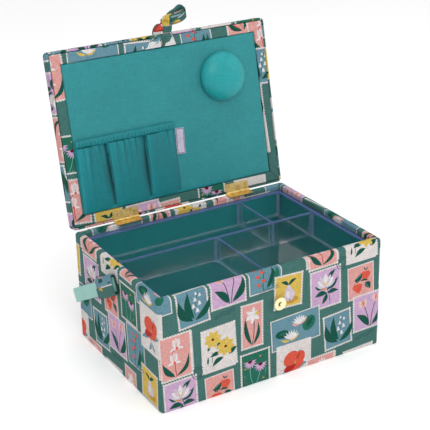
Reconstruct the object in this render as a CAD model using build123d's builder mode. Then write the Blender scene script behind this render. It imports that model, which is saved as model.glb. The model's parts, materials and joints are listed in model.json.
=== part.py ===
"""Fabric-covered sewing box: boarded case, padded lid held open, lift-out tray, strap handle.

Frame: millimetres, +Z up, +X to the right seen from the front, +Y to the back.
The origin is the middle of the flat rest face under the case. The lid stands open.
"""
from build123d import *
import os
from math import cos, radians, sin

os.makedirs("parts", exist_ok=True)

# ---- driving dimensions: case
WIDTH = 260.0
DEPTH = 187.5
HEIGHT = 122.0
SKIN = 1.0                 # printed cotton glued over its backing card
BOARD = 4.0                # wall and base boards
CORNER = 4.5               # vertical corner radius, outside
RIM_WIDTH = 8.0            # padded rim, seen from above
RIM_ROUND = 3.6            # outer roll of the rim
RIM_ROUND_IN = 2.2         # inner roll of the rim
LEDGE_Z = 114.0            # top of the lining walls, where the tray rests
LINING = 5.0               # satin over foam-backed card
FLOOR_LINING = 2.0
HEM = 13.0                 # skin turned under the base
RIM_PAD_HIGH = 5.0         # foam over the boards
RIM_PAD_CORNER = 2.0       # foam's inner corners
RIM_CORNER = 1.2           # inner corners of the covered rim
THROUGH = 1.0              # how far a cut runs past the face it opens

# ---- tray
TRAY_INSET = 8.6           # case wall to flange edge
FLANGE = 1.6
FLANGE_WIDTH = 2.8
TRAY_DEPTH = 27.0
TRAY_WALL = 1.6
TRAY_CORNER = 5.0
CROSS_Y = 13.5             # long divider, left to right
BACK_DIVIDER_X = 65.0
FRONT_DIVIDER_X = -4.0
TRAY_DRAFT = 2.0           # degrees
FLANGE_CORNER = 2.0
CELL_CORNER = 2.5

# ---- lid, drawn on a plane through the hinge axis
OPEN_ANGLE = 101.8         # from shut to the open rest
HINGE_Y = 93.0
HINGE_GAP = 1.6            # rim to lid frame when shut
LID_WIDTH = 260.4
LID_REAR = -0.6            # lid's rear edge, along the lid from the axis
LID_FRONT = 186.6
LID_DEEP = 14.0            # frame face to outer face
SHELL_SET_BACK = 0.6       # outer shell's edge behind the frame face
FRAME_INSET = 2.6          # outer shell to frame rail
FRAME_RAIL = 11.0
RAIL_DEEP = 7.0
LID_BOARD = 3.0
LID_PAD = 2.4
PANEL_RECESS = 0.8
COVER_EDGE = 1.1           # roll of the outer cover's edges
RAIL_EDGE = 0.9            # roll of the frame rails

# ---- pincushion, pocket and label, placed on the lid by x and distance from the hinge axis
CUSHION_X = 68.7
CUSHION_S = 131.0
CUSHION_R = 27.0
CUSHION_HIGH = 15.0
CUSHION_FOOT = 2.0         # foot is this much smaller in radius
CUSHION_WIDEST = 4.0       # height of the widest ring
CUSHION_SHOULDER = (0.62, 0.86)   # shares of radius and height
POCKET_GAP = 0.4           # pocket to the frame, at its left
POCKET_RIGHT = 2.0
POCKET_FOOT = 14.2
POCKET_TOP = 92.0
POCKET_PROUD = 5.6
POCKET_CLOTH = 1.0
POCKET_SIDE = 2.0          # sewn-down side of the pocket
CASING = 8.0
CASING_THICK = 2.4
CASING_PLY = 0.8
CASING_SEAM = 1.2
CASING_PROUD = 0.2         # casing stands this far over the pocket cloth
LABEL_X = 8.4
LABEL_S = 70.0
LABEL_WIDE = 10.0
LABEL_LONG = 28.0
LABEL_THICK = 0.6

# ---- hinges
LEAF_WIDTH = 30.0
LEAF = 0.8
LEAF_LONG = 10.6
KNUCKLE_R = 1.7
PIN_R = 0.8
PIN_CLEAR = 0.06
HINGE_XS = (-69.0, 70.0)
KNUCKLES = 5
NAIL_R = 1.1               # rivets through the leaves
NAIL_SPAN = 19.0
NAIL_LONG = 4.0
NAIL_ROW = 0.62            # rivets' place along the leaf, from the axis
LEAF_CORNER = 1.2
TONGUE = 2.8               # strip joining a leaf to its knuckles
KNUCKLE_PLAY = 0.1         # each end of each knuckle
KNUCKLE_RELIEF = 0.25      # leaf cut back round the other leaf's knuckles
SEAT_PLAY = 0.2            # covering cut back round each leaf edge
SEAT_KNUCKLE = 0.3         # covering cut back round the knuckles
SEAT_END = 0.4             # and past their ends
SEAT_OPEN = 5.0            # height of the rim's seat
LID_SEAT_OPEN = 3.0

# ---- catch
CATCH_X = 2.0
BUTTON_Z = 84.7
BUTTON_R = 6.8
BUTTON_STAND = 3.8
BUTTON_THICK = 2.2
SHANK_R = 1.8
BUTTON_FRONT_ROLL = 0.9
BUTTON_BACK_ROLL = 0.5
HOLLOW_DEEP = 0.6          # ring-shaped hollow in the button's face
HOLLOW_OUT = 2.6
HOLLOW_IN = 1.3
WASHER_SEAT = 1.4          # hollow in the lining for each clinched rivet
WASHER_THICK = 1.0
WASHER_UNDER = 0.3         # washer's radius under its seat's
SHANK_END = 0.2            # shank ends this far inside the board's inner face
LOOP_REACH = 54.0
LOOP_SLOT = 17.0
LOOP_BAND = 6.5
LOOP_THICK = 1.6
LOOP_GAP = 1.6             # lid edge to the fold line of the loop
LOOP_FLOP = 40.0           # loop leans this far forward of the open lid at rest
LOOP_PROUD = 0.5           # fold line over the frame face
LOOP_START = -0.8          # sewn end, past the fold line
LOOP_BRIDGE = 4.0          # cloth before the slot
TAIL_WIDE = 24.0
TAIL_THICK = 1.0
TAIL_OVER = 0.4            # tail past the lid's edge

# ---- handle
HANDLE_Z = 100.0
HANDLE_REACH = 115.0
HANDLE_REST = 29.0         # below level, crossbar against the back wall
STRAP_WIDE = 15.5
STRAP_THICK = 2.2
STRAP_CORNER = 5.0
STRAP_X = 131.2            # inner face of each leg
STRAP_START = -7.0
SLEEVE_WIDE = 22.0
SLEEVE_FROM = -10.0
SLEEVE_TO = 36.0
SLEEVE_PLY = 0.8
SLEEVE_OUT = 2.8
RIVET_R = 2.0
RIVET_HEAD_R = 4.5
RIVET_HEAD = 0.9           # thickness of the outer head
RIVET_HEAD_UNDER = 0.6     # outer head's radius under its seat's
RIVET_STAND = 0.3          # outer head over the strap
SLEEVE_ROLL = 2.0
SLEEVE_SEAT = 0.4          # sleeve's play round the outer head
SLEEVE_SEAT_DEEP = 1.6
SLEEVE_HOLE_PLAY = 0.3

# ---- worked out
HALF_W = WIDTH / 2
HALF_D = DEPTH / 2
LINING_INSET = SKIN + BOARD
PAD_BASE = HEIGHT - SKIN - RIM_PAD_HIGH
FLOOR_Z = SKIN + BOARD
LEAN = radians(OPEN_ANGLE - 90)
HINGE_Z = HEIGHT + HINGE_GAP / 2
FACE = -HINGE_GAP / 2                # lid frame's face, on the lid plane
LID_BACK = FACE - LID_DEEP           # lid's outer face
LID_MID = (LID_REAR + LID_FRONT) / 2
LID_LONG = LID_FRONT - LID_REAR
PANEL_FACE = FACE - PANEL_RECESS
RAIL_BACK = FACE - RAIL_DEEP
PANEL_WIDTH = LID_WIDTH - 2 * (FRAME_INSET + FRAME_RAIL)
PANEL_LONG = LID_LONG - 2 * (FRAME_INSET + FRAME_RAIL)

LID = Plane(
    origin=(0, HINGE_Y, HINGE_Z),
    x_dir=(1, 0, 0),
    z_dir=(0, -cos(LEAN), sin(LEAN)),
)
HANDLE = Plane(
    origin=(0, 0, HANDLE_Z),
    x_dir=(1, 0, 0),
    z_dir=(0, sin(radians(HANDLE_REST)), cos(radians(HANDLE_REST))),
)


def finish(piece, label):
    """Name a finished piece and write it."""
    piece.part.label = label
    export_step(piece.part, f"parts/{label}.step")


def wall_depth(edge):
    """How far an edge's middle lies inside the case's outer walls."""
    return min(HALF_W - abs(edge.center().X), HALF_D - abs(edge.center().Y))


def on_lid(height):
    """A sketch plane parallel to the lid, height above the hinge axis towards the inside."""
    return LID.offset(height)


# ================================================================ case boards
inner_w = WIDTH - 2 * SKIN
inner_d = DEPTH - 2 * SKIN
pad_w = WIDTH - 2 * (RIM_WIDTH - SKIN)
pad_d = DEPTH - 2 * (RIM_WIDTH - SKIN)

with BuildPart() as base_board:
    with BuildSketch(Plane.XY.offset(SKIN)):
        Rectangle(WIDTH - 2 * LINING_INSET, DEPTH - 2 * LINING_INSET)
    extrude(amount=BOARD)
finish(base_board, "base_board")

for side, name in ((-1, "left_board"), (1, "right_board")):
    with BuildPart() as side_board:
        with BuildSketch(Plane.XY.offset(SKIN)):
            with Locations((side * (HALF_W - SKIN - BOARD / 2), 0)):
                Rectangle(BOARD, inner_d)
        extrude(amount=PAD_BASE - SKIN)
        outer_edges = side_board.edges().filter_by(Axis.Z).sort_by(Axis.X)
        fillet(outer_edges[:2] if side < 0 else outer_edges[-2:], CORNER - SKIN)
        with BuildSketch(Plane.YZ.offset(side * (HALF_W - SKIN - BOARD - THROUGH))):
            with Locations((0, HANDLE_Z)):
                Circle(RIVET_R)
        extrude(amount=side * (BOARD + 2 * THROUGH), mode=Mode.SUBTRACT)
    finish(side_board, name)

with BuildPart() as back_board:
    with BuildSketch(Plane.XY.offset(SKIN)):
        with Locations((0, HALF_D - SKIN - BOARD / 2)):
            Rectangle(WIDTH - 2 * LINING_INSET, BOARD)
    extrude(amount=PAD_BASE - SKIN)
finish(back_board, "back_board")

with BuildPart() as front_board:
    with BuildSketch(Plane.XY.offset(SKIN)):
        with Locations((0, -HALF_D + SKIN + BOARD / 2)):
            Rectangle(WIDTH - 2 * LINING_INSET, BOARD)
    extrude(amount=PAD_BASE - SKIN)
    with BuildSketch(Plane.XZ.offset(HALF_D - SKIN - BOARD - THROUGH)):
        with Locations((CATCH_X, BUTTON_Z)):
            Circle(SHANK_R)
    extrude(amount=BOARD + 2 * THROUGH, mode=Mode.SUBTRACT)
finish(front_board, "front_board")

# ---- foam that rounds the rim, an L-shaped ring over the boards
with BuildPart() as rim_pad:
    with BuildSketch(Plane.XY.offset(PAD_BASE)):
        RectangleRounded(inner_w, inner_d, CORNER - SKIN)
        RectangleRounded(pad_w, pad_d, RIM_PAD_CORNER, mode=Mode.SUBTRACT)
    extrude(amount=HEIGHT - SKIN - PAD_BASE)
    outer_edges = [e for e in rim_pad.edges().group_by(Axis.Z)[-1] if wall_depth(e) < RIM_WIDTH / 2]
    fillet(outer_edges, RIM_ROUND - SKIN)
    inner_edges = [e for e in rim_pad.edges().group_by(Axis.Z)[-1] if wall_depth(e) > RIM_WIDTH / 2]
    fillet(inner_edges, RIM_ROUND_IN - SKIN)
    with BuildSketch(Plane.XY.offset(LEDGE_Z)):
        Rectangle(WIDTH - 2 * LINING_INSET, DEPTH - 2 * LINING_INSET)
        RectangleRounded(pad_w, pad_d, RIM_PAD_CORNER, mode=Mode.SUBTRACT)
    extrude(amount=PAD_BASE - LEDGE_Z)

# ---- rivets that hold the rim leaves, and the seats that leaf, knuckle and rivets sit in
with BuildPart() as rim_rivets:
    for hinge_x in HINGE_XS:
        with BuildSketch(Plane.XY.offset(HEIGHT + LEAF / 2)):
            with Locations((hinge_x, HINGE_Y - LEAF_LONG * NAIL_ROW)):
                with GridLocations(NAIL_SPAN, 1, 2, 1):
                    Circle(NAIL_R)
        extrude(amount=-NAIL_LONG)
finish(rim_rivets, "rim_hinge_rivets")

with BuildPart() as rim_seats:
    for hinge_x in HINGE_XS:
        with BuildSketch(Plane.XY.offset(HEIGHT - LEAF / 2)):
            with Locations((hinge_x, HINGE_Y - LEAF_LONG / 2)):
                Rectangle(LEAF_WIDTH + 2 * SEAT_PLAY, LEAF_LONG + 2 * SEAT_PLAY)
        extrude(amount=SEAT_OPEN)
        with BuildSketch(Plane.YZ.offset(hinge_x - LEAF_WIDTH / 2 - SEAT_END)):
            with Locations((HINGE_Y, HINGE_Z)):
                Circle(KNUCKLE_R + SEAT_KNUCKLE)
        extrude(amount=LEAF_WIDTH + 2 * SEAT_END)
    add(rim_rivets.part)

# ---- printed cover of the case: outside walls, rolled rim, hem under the base
with BuildPart() as case_cover:
    with BuildSketch(Plane.XY):
        RectangleRounded(WIDTH, DEPTH, CORNER)
    extrude(amount=HEIGHT)
    fillet(case_cover.edges().group_by(Axis.Z)[-1], RIM_ROUND)
    with BuildSketch(Plane.XY.offset(SKIN)):
        RectangleRounded(inner_w, inner_d, CORNER - SKIN)
    extrude(amount=LEDGE_Z - SKIN, mode=Mode.SUBTRACT)
    with BuildSketch(Plane.XY.offset(LEDGE_Z)):
        RectangleRounded(WIDTH - 2 * RIM_WIDTH, DEPTH - 2 * RIM_WIDTH, RIM_CORNER)
    extrude(amount=HEIGHT, mode=Mode.SUBTRACT)
    inner_edges = [e for e in case_cover.edges().group_by(Axis.Z)[-1] if wall_depth(e) > RIM_WIDTH - SKIN]
    fillet(inner_edges, RIM_ROUND_IN)
    with BuildSketch(Plane.XY.offset(LEDGE_Z)):
        RectangleRounded(inner_w, inner_d, CORNER - SKIN)
        Rectangle(WIDTH - 2 * LINING_INSET, DEPTH - 2 * LINING_INSET, mode=Mode.SUBTRACT)
    extrude(amount=PAD_BASE - LEDGE_Z, mode=Mode.SUBTRACT)
    add(rim_pad.part, mode=Mode.SUBTRACT)
    with BuildSketch(Plane.XY):
        Rectangle(WIDTH - 2 * HEM, DEPTH - 2 * HEM)
    extrude(amount=SKIN, mode=Mode.SUBTRACT)
    add(rim_seats.part, mode=Mode.SUBTRACT)
    with BuildSketch(Plane.XZ.offset(HALF_D - 2 * SKIN)):
        with Locations((CATCH_X, BUTTON_Z)):
            Circle(SHANK_R)
    extrude(amount=3 * SKIN, mode=Mode.SUBTRACT)
    for side in (-1, 1):
        with BuildSketch(Plane.YZ.offset(side * (HALF_W - 2 * SKIN))):
            with Locations((0, HANDLE_Z)):
                Circle(RIVET_R)
        extrude(amount=side * 3 * SKIN, mode=Mode.SUBTRACT)
finish(case_cover, "case_cover")

with BuildPart() as padded_rim:
    add(rim_pad.part)
    add(rim_seats.part, mode=Mode.SUBTRACT)
finish(padded_rim, "rim_pad")

with BuildPart() as base_cloth:
    with BuildSketch(Plane.XY):
        Rectangle(WIDTH - 2 * HEM, DEPTH - 2 * HEM)
    extrude(amount=SKIN)
finish(base_cloth, "base_cloth")

# ================================================================ lining
with BuildPart() as floor_lining:
    with BuildSketch(Plane.XY.offset(FLOOR_Z)):
        Rectangle(WIDTH - 2 * (LINING_INSET + LINING), DEPTH - 2 * (LINING_INSET + LINING))
    extrude(amount=FLOOR_LINING)
finish(floor_lining, "floor_lining")

for side, name in ((-1, "left_lining"), (1, "right_lining")):
    with BuildPart() as side_lining:
        with BuildSketch(Plane.XY.offset(FLOOR_Z)):
            with Locations((side * (HALF_W - LINING_INSET - LINING / 2), 0)):
                Rectangle(LINING, DEPTH - 2 * LINING_INSET)
        extrude(amount=LEDGE_Z - FLOOR_Z)
        with BuildSketch(Plane.YZ.offset(side * (HALF_W - LINING_INSET - WASHER_SEAT))):
            with Locations((0, HANDLE_Z)):
                Circle(RIVET_HEAD_R)
        extrude(amount=side * (WASHER_SEAT + THROUGH), mode=Mode.SUBTRACT)
    finish(side_lining, name)

for side, name in ((-1, "front_lining"), (1, "back_lining")):
    with BuildPart() as end_lining:
        with BuildSketch(Plane.XY.offset(FLOOR_Z)):
            with Locations((0, side * (HALF_D - LINING_INSET - LINING / 2))):
                Rectangle(WIDTH - 2 * (LINING_INSET + LINING), LINING)
        extrude(amount=LEDGE_Z - FLOOR_Z)
        if side < 0:
            with BuildSketch(Plane.XZ.offset(HALF_D - LINING_INSET - WASHER_SEAT)):
                with Locations((CATCH_X, BUTTON_Z)):
                    Circle(RIVET_HEAD_R)
            extrude(amount=WASHER_SEAT + THROUGH, mode=Mode.SUBTRACT)
    finish(end_lining, name)

# ================================================================ button catch
shank_out = BUTTON_STAND + HALF_D
shank_in = HALF_D - LINING_INSET - SHANK_END
shank_turn_r = SHANK_R - PIN_CLEAR

with BuildPart() as button:
    with BuildSketch(Plane.XZ.offset(shank_out)):
        with Locations((CATCH_X, BUTTON_Z)):
            Circle(BUTTON_R)
    extrude(amount=BUTTON_THICK)
    fillet(button.edges().group_by(Axis.Y)[0], BUTTON_FRONT_ROLL)
    fillet(button.edges().group_by(Axis.Y)[-1], BUTTON_BACK_ROLL)
    with BuildSketch(Plane.XZ.offset(shank_out + BUTTON_THICK - HOLLOW_DEEP)):
        with Locations((CATCH_X, BUTTON_Z)):
            Circle(HOLLOW_OUT)
            Circle(HOLLOW_IN, mode=Mode.SUBTRACT)
    extrude(amount=HOLLOW_DEEP + THROUGH, mode=Mode.SUBTRACT)
finish(button, "button")

with BuildPart() as button_shank:
    with BuildSketch(Plane.XZ.offset(shank_in)):
        with Locations((CATCH_X, BUTTON_Z)):
            Circle(shank_turn_r)
    extrude(amount=shank_out - shank_in)
    with BuildSketch(Plane.XZ.offset(shank_in - WASHER_THICK)):
        with Locations((CATCH_X, BUTTON_Z)):
            Circle(RIVET_HEAD_R - WASHER_UNDER)
    extrude(amount=WASHER_THICK)
finish(button_shank, "button_shank")

# ================================================================ hinges
leaf_knuckle = LEAF_WIDTH / KNUCKLES


def knuckle_spans(hinge_x, parity):
    """X ranges of every other knuckle, with a little play between neighbours."""
    left = hinge_x - LEAF_WIDTH / 2
    return [
        (left + k * leaf_knuckle + KNUCKLE_PLAY, left + (k + 1) * leaf_knuckle - KNUCKLE_PLAY)
        for k in range(parity, KNUCKLES, 2)
    ]


SIDES = (("left", HINGE_XS[0]), ("right", HINGE_XS[1]))
for side, hinge_x in SIDES:
    with BuildPart() as rim_leaf:
        with BuildSketch(Plane.XY.offset(HEIGHT - LEAF / 2)):
            with Locations((hinge_x, HINGE_Y - LEAF_LONG / 2)):
                Rectangle(LEAF_WIDTH, LEAF_LONG)
        extrude(amount=LEAF)
        fillet(rim_leaf.edges().filter_by(Axis.Z).group_by(Axis.Y)[0], LEAF_CORNER)
        with BuildSketch(Plane.YZ.offset(hinge_x - LEAF_WIDTH / 2 - THROUGH)):
            with Locations((HINGE_Y, HINGE_Z)):
                Circle(KNUCKLE_R + KNUCKLE_RELIEF)
        extrude(amount=LEAF_WIDTH + 2 * THROUGH, mode=Mode.SUBTRACT)
        for start, stop in knuckle_spans(hinge_x, 0):
            with BuildSketch(Plane.YZ.offset(start)):
                with Locations((HINGE_Y, HINGE_Z)):
                    Circle(KNUCKLE_R)
                with Locations((HINGE_Y - TONGUE / 2, HEIGHT)):
                    Rectangle(TONGUE, LEAF)
                with Locations((HINGE_Y, HINGE_Z)):
                    Circle(PIN_R, mode=Mode.SUBTRACT)
            extrude(amount=stop - start)
        with BuildSketch(Plane.XY.offset(HEIGHT - LEAF)):
            with Locations((hinge_x, HINGE_Y - LEAF_LONG * NAIL_ROW)):
                with GridLocations(NAIL_SPAN, 1, 2, 1):
                    Circle(NAIL_R)
        extrude(amount=LEAF + 2 * THROUGH, mode=Mode.SUBTRACT)
    finish(rim_leaf, f"{side}_hinge_rim_leaf")

    with BuildPart() as lid_leaf:
        with BuildSketch(on_lid(FACE - LEAF / 2)):
            with Locations((hinge_x, LEAF_LONG / 2)):
                Rectangle(LEAF_WIDTH, LEAF_LONG)
        extrude(amount=LEAF)
        corners = lid_leaf.edges().filter_by(lambda e: abs(e.length - LEAF) < 1e-6)
        fillet(corners.sort_by(Axis.Z)[-2:], LEAF_CORNER)
        with BuildSketch(Plane.YZ.offset(hinge_x - LEAF_WIDTH / 2 - THROUGH)):
            with Locations((HINGE_Y, HINGE_Z)):
                Circle(KNUCKLE_R + KNUCKLE_RELIEF)
        extrude(amount=LEAF_WIDTH + 2 * THROUGH, mode=Mode.SUBTRACT)
        for start, stop in knuckle_spans(hinge_x, 1):
            with BuildSketch(on_lid(FACE - LEAF / 2)):
                with Locations(((start + stop) / 2, TONGUE / 2)):
                    Rectangle(stop - start, TONGUE)
            extrude(amount=LEAF)
            with BuildSketch(Plane.YZ.offset(start)):
                with Locations((HINGE_Y, HINGE_Z)):
                    Circle(KNUCKLE_R)
            extrude(amount=stop - start)
            with BuildSketch(Plane.YZ.offset(start - KNUCKLE_PLAY)):
                with Locations((HINGE_Y, HINGE_Z)):
                    Circle(PIN_R + PIN_CLEAR)
            extrude(amount=stop - start + 2 * KNUCKLE_PLAY, mode=Mode.SUBTRACT)
        with BuildSketch(on_lid(FACE - LEAF)):
            with Locations((hinge_x, LEAF_LONG * NAIL_ROW)):
                with GridLocations(NAIL_SPAN, 1, 2, 1):
                    Circle(NAIL_R)
        extrude(amount=LEAF + 2 * THROUGH, mode=Mode.SUBTRACT)
    finish(lid_leaf, f"{side}_hinge_lid_leaf")

    with BuildPart() as hinge_pin:
        with BuildSketch(Plane.YZ.offset(hinge_x - LEAF_WIDTH / 2)):
            with Locations((HINGE_Y, HINGE_Z)):
                Circle(PIN_R)
        extrude(amount=LEAF_WIDTH)
    finish(hinge_pin, f"{side}_hinge_pin")

with BuildPart() as lid_rivets:
    for hinge_x in HINGE_XS:
        with BuildSketch(on_lid(FACE + LEAF / 2)):
            with Locations((hinge_x, LEAF_LONG * NAIL_ROW)):
                with GridLocations(NAIL_SPAN, 1, 2, 1):
                    Circle(NAIL_R)
        extrude(amount=-NAIL_LONG)
finish(lid_rivets, "lid_hinge_rivets")

# ================================================================ lid
shell_face = FACE - SHELL_SET_BACK
board_back = LID_BACK + LID_PAD

with BuildPart() as lid_cavity:
    with BuildSketch(on_lid(board_back)):
        with Locations((0, LID_MID)):
            Rectangle(LID_WIDTH - 2 * FRAME_INSET, LID_LONG - 2 * FRAME_INSET)
    extrude(amount=LID_DEEP)

# ---- seats for the lid leaves, their knuckles and rivets, cut from the rear rail
with BuildPart() as lid_seats:
    for hinge_x in HINGE_XS:
        with BuildSketch(on_lid(FACE - LEAF / 2)):
            with Locations((hinge_x, LEAF_LONG / 2)):
                Rectangle(LEAF_WIDTH + 2 * SEAT_PLAY, LEAF_LONG + 2 * SEAT_PLAY)
        extrude(amount=LID_SEAT_OPEN)
        with BuildSketch(Plane.YZ.offset(hinge_x - LEAF_WIDTH / 2 - SEAT_END)):
            with Locations((HINGE_Y, HINGE_Z)):
                Circle(KNUCKLE_R + SEAT_KNUCKLE)
        extrude(amount=LEAF_WIDTH + 2 * SEAT_END)
    add(lid_rivets.part)

with BuildPart() as lid_cover:
    with BuildSketch(on_lid(LID_BACK)):
        with Locations((0, LID_MID)):
            RectangleRounded(LID_WIDTH, LID_LONG, CORNER)
    extrude(amount=LID_DEEP - SHELL_SET_BACK)
    lid_faces = lid_cover.faces().sort_by(SortBy.AREA)
    fillet(lid_faces[-2:].edges(), COVER_EDGE)
    add(lid_cavity.part, mode=Mode.SUBTRACT)
    add(lid_seats.part, mode=Mode.SUBTRACT)
finish(lid_cover, "lid_cover")

with BuildPart() as lid_board:
    with BuildSketch(on_lid(board_back)):
        with Locations((0, LID_MID)):
            Rectangle(LID_WIDTH - 2 * FRAME_INSET, LID_LONG - 2 * FRAME_INSET)
    extrude(amount=LID_BOARD)
finish(lid_board, "lid_board")

frame_w = LID_WIDTH - 2 * FRAME_INSET
frame_l = LID_LONG - 2 * FRAME_INSET
rail_rear = LID_REAR + FRAME_INSET
rail_front = LID_FRONT - FRAME_INSET
RAILS = (
    ("lid_rear_rail", 0, rail_rear + FRAME_RAIL / 2, frame_w, FRAME_RAIL),
    ("lid_front_rail", 0, rail_front - FRAME_RAIL / 2, frame_w, FRAME_RAIL),
    ("lid_left_rail", -(frame_w - FRAME_RAIL) / 2, LID_MID, FRAME_RAIL, frame_l - 2 * FRAME_RAIL),
    ("lid_right_rail", (frame_w - FRAME_RAIL) / 2, LID_MID, FRAME_RAIL, frame_l - 2 * FRAME_RAIL),
)
for name, rail_x, rail_y, rail_w, rail_l in RAILS:
    with BuildPart() as rail:
        with BuildSketch(on_lid(RAIL_BACK)):
            with Locations((rail_x, rail_y)):
                Rectangle(rail_w, rail_l)
        extrude(amount=RAIL_DEEP)
        face_edges = rail.faces().filter_by(LID).sort_by(Axis((0, 0, 0), LID.z_dir))[-1].edges()
        long_edges = face_edges.sort_by(SortBy.LENGTH)[-2:]
        fillet(long_edges, RAIL_EDGE)
        if name == "lid_rear_rail":
            add(lid_seats.part, mode=Mode.SUBTRACT)
    finish(rail, name)

with BuildPart() as lining_wadding:
    with BuildSketch(on_lid(board_back + LID_BOARD)):
        with Locations((0, LID_MID)):
            Rectangle(frame_w, frame_l)
    extrude(amount=RAIL_BACK - (board_back + LID_BOARD))
finish(lining_wadding, "lid_wadding")

with BuildPart() as lid_lining:
    with BuildSketch(on_lid(RAIL_BACK)):
        with Locations((0, LID_MID)):
            Rectangle(PANEL_WIDTH, PANEL_LONG)
    extrude(amount=PANEL_FACE - RAIL_BACK)
finish(lid_lining, "lid_lining")

# ---- pincushion on the lining, and the elastic-topped pocket beside it
with BuildPart() as pincushion:
    cushion_plane = Plane(
        origin=LID.from_local_coords((CUSHION_X, CUSHION_S, PANEL_FACE)),
        x_dir=(1, 0, 0),
        z_dir=LID.y_dir * -1,
    )
    with BuildSketch(cushion_plane):
        with BuildLine():
            Line((0, CUSHION_HIGH), (0, 0))
            Line((0, 0), (CUSHION_R - CUSHION_FOOT, 0))
            Spline(
                (CUSHION_R - CUSHION_FOOT, 0),
                (CUSHION_R, CUSHION_WIDEST),
                (CUSHION_R * CUSHION_SHOULDER[0], CUSHION_HIGH * CUSHION_SHOULDER[1]),
                (0, CUSHION_HIGH),
                tangents=((0.6, 1), (-1, 0)),
            )
        make_face()
    revolve(axis=Axis(cushion_plane.origin, LID.z_dir))
finish(pincushion, "pincushion")

pocket_left = -PANEL_WIDTH / 2 + POCKET_GAP
pocket_w = POCKET_RIGHT - pocket_left
pocket_x = (POCKET_RIGHT + pocket_left) / 2
casing_back = PANEL_FACE + POCKET_PROUD + CASING_PROUD - CASING_THICK
with BuildPart() as pocket:
    with BuildSketch(on_lid(PANEL_FACE)):
        with Locations((pocket_x, (POCKET_FOOT + POCKET_TOP) / 2)):
            Rectangle(pocket_w, POCKET_TOP - POCKET_FOOT)
    extrude(amount=POCKET_PROUD)
    with BuildSketch(on_lid(PANEL_FACE)):
        with Locations((pocket_x, (POCKET_FOOT + POCKET_TOP) / 2 + POCKET_SIDE)):
            Rectangle(pocket_w - 2 * POCKET_SIDE, POCKET_TOP - POCKET_FOOT)
    extrude(amount=POCKET_PROUD - POCKET_CLOTH, mode=Mode.SUBTRACT)
    with BuildSketch(on_lid(PANEL_FACE)):
        with Locations((pocket_x, POCKET_TOP - CASING / 2)):
            Rectangle(pocket_w + THROUGH, CASING)
    extrude(amount=POCKET_PROUD + THROUGH, mode=Mode.SUBTRACT)
finish(pocket, "pocket")

with BuildPart() as pocket_casing:
    with BuildSketch(on_lid(casing_back)):
        with Locations((pocket_x, POCKET_TOP - CASING / 2)):
            Rectangle(pocket_w, CASING)
    extrude(amount=CASING_THICK)
    with BuildSketch(on_lid(casing_back + CASING_PLY)):
        with Locations((pocket_x, POCKET_TOP - CASING / 2)):
            Rectangle(pocket_w + THROUGH, CASING - 2 * CASING_SEAM)
    extrude(amount=CASING_PLY, mode=Mode.SUBTRACT)
finish(pocket_casing, "pocket_casing")

with BuildPart() as pocket_elastic:
    with BuildSketch(on_lid(casing_back + CASING_PLY)):
        with Locations((pocket_x, POCKET_TOP - CASING / 2)):
            Rectangle(pocket_w, CASING - 2 * CASING_SEAM)
    extrude(amount=CASING_PLY)
finish(pocket_elastic, "pocket_elastic")

with BuildPart() as label:
    with BuildSketch(on_lid(PANEL_FACE)):
        with Locations((LABEL_X, LABEL_S)):
            Rectangle(LABEL_WIDE, LABEL_LONG)
    extrude(amount=LABEL_THICK)
finish(label, "blank_label")

# ================================================================ button loop
tail_from = LID_FRONT - FRAME_INSET - FRAME_RAIL
tail_to = LID_FRONT + TAIL_OVER
with BuildPart() as loop_tail:
    with BuildSketch(on_lid(FACE)):
        with Locations((CATCH_X, (tail_from + tail_to) / 2)):
            Rectangle(TAIL_WIDE, tail_to - tail_from)
    extrude(amount=TAIL_THICK)
finish(loop_tail, "loop_tail")

fold_s = LID_FRONT + LOOP_GAP
loop_w = LOOP_SLOT + 2 * LOOP_BAND
loop_turn = LOOP_REACH - loop_w / 2          # centre of the round end
forward = radians(LOOP_FLOP) - LEAN
LOOP = Plane(
    origin=LID.from_local_coords((CATCH_X, fold_s, FACE + LOOP_PROUD)),
    x_dir=(1, 0, 0),
    z_dir=(0, -cos(forward), -sin(forward)),
)
with BuildPart() as button_loop:
    with BuildSketch(LOOP.offset(-LOOP_THICK / 2)):
        with Locations((0, (LOOP_START + loop_turn) / 2)):
            Rectangle(loop_w, loop_turn - LOOP_START)
        with Locations((0, loop_turn)):
            Circle(loop_w / 2)
        with Locations((0, (LOOP_START + LOOP_BRIDGE + loop_turn) / 2)):
            Rectangle(LOOP_SLOT, loop_turn - LOOP_START - LOOP_BRIDGE, mode=Mode.SUBTRACT)
        with Locations((0, loop_turn)):
            Circle(LOOP_SLOT / 2, mode=Mode.SUBTRACT)
    extrude(amount=LOOP_THICK)
finish(button_loop, "button_loop")

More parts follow.
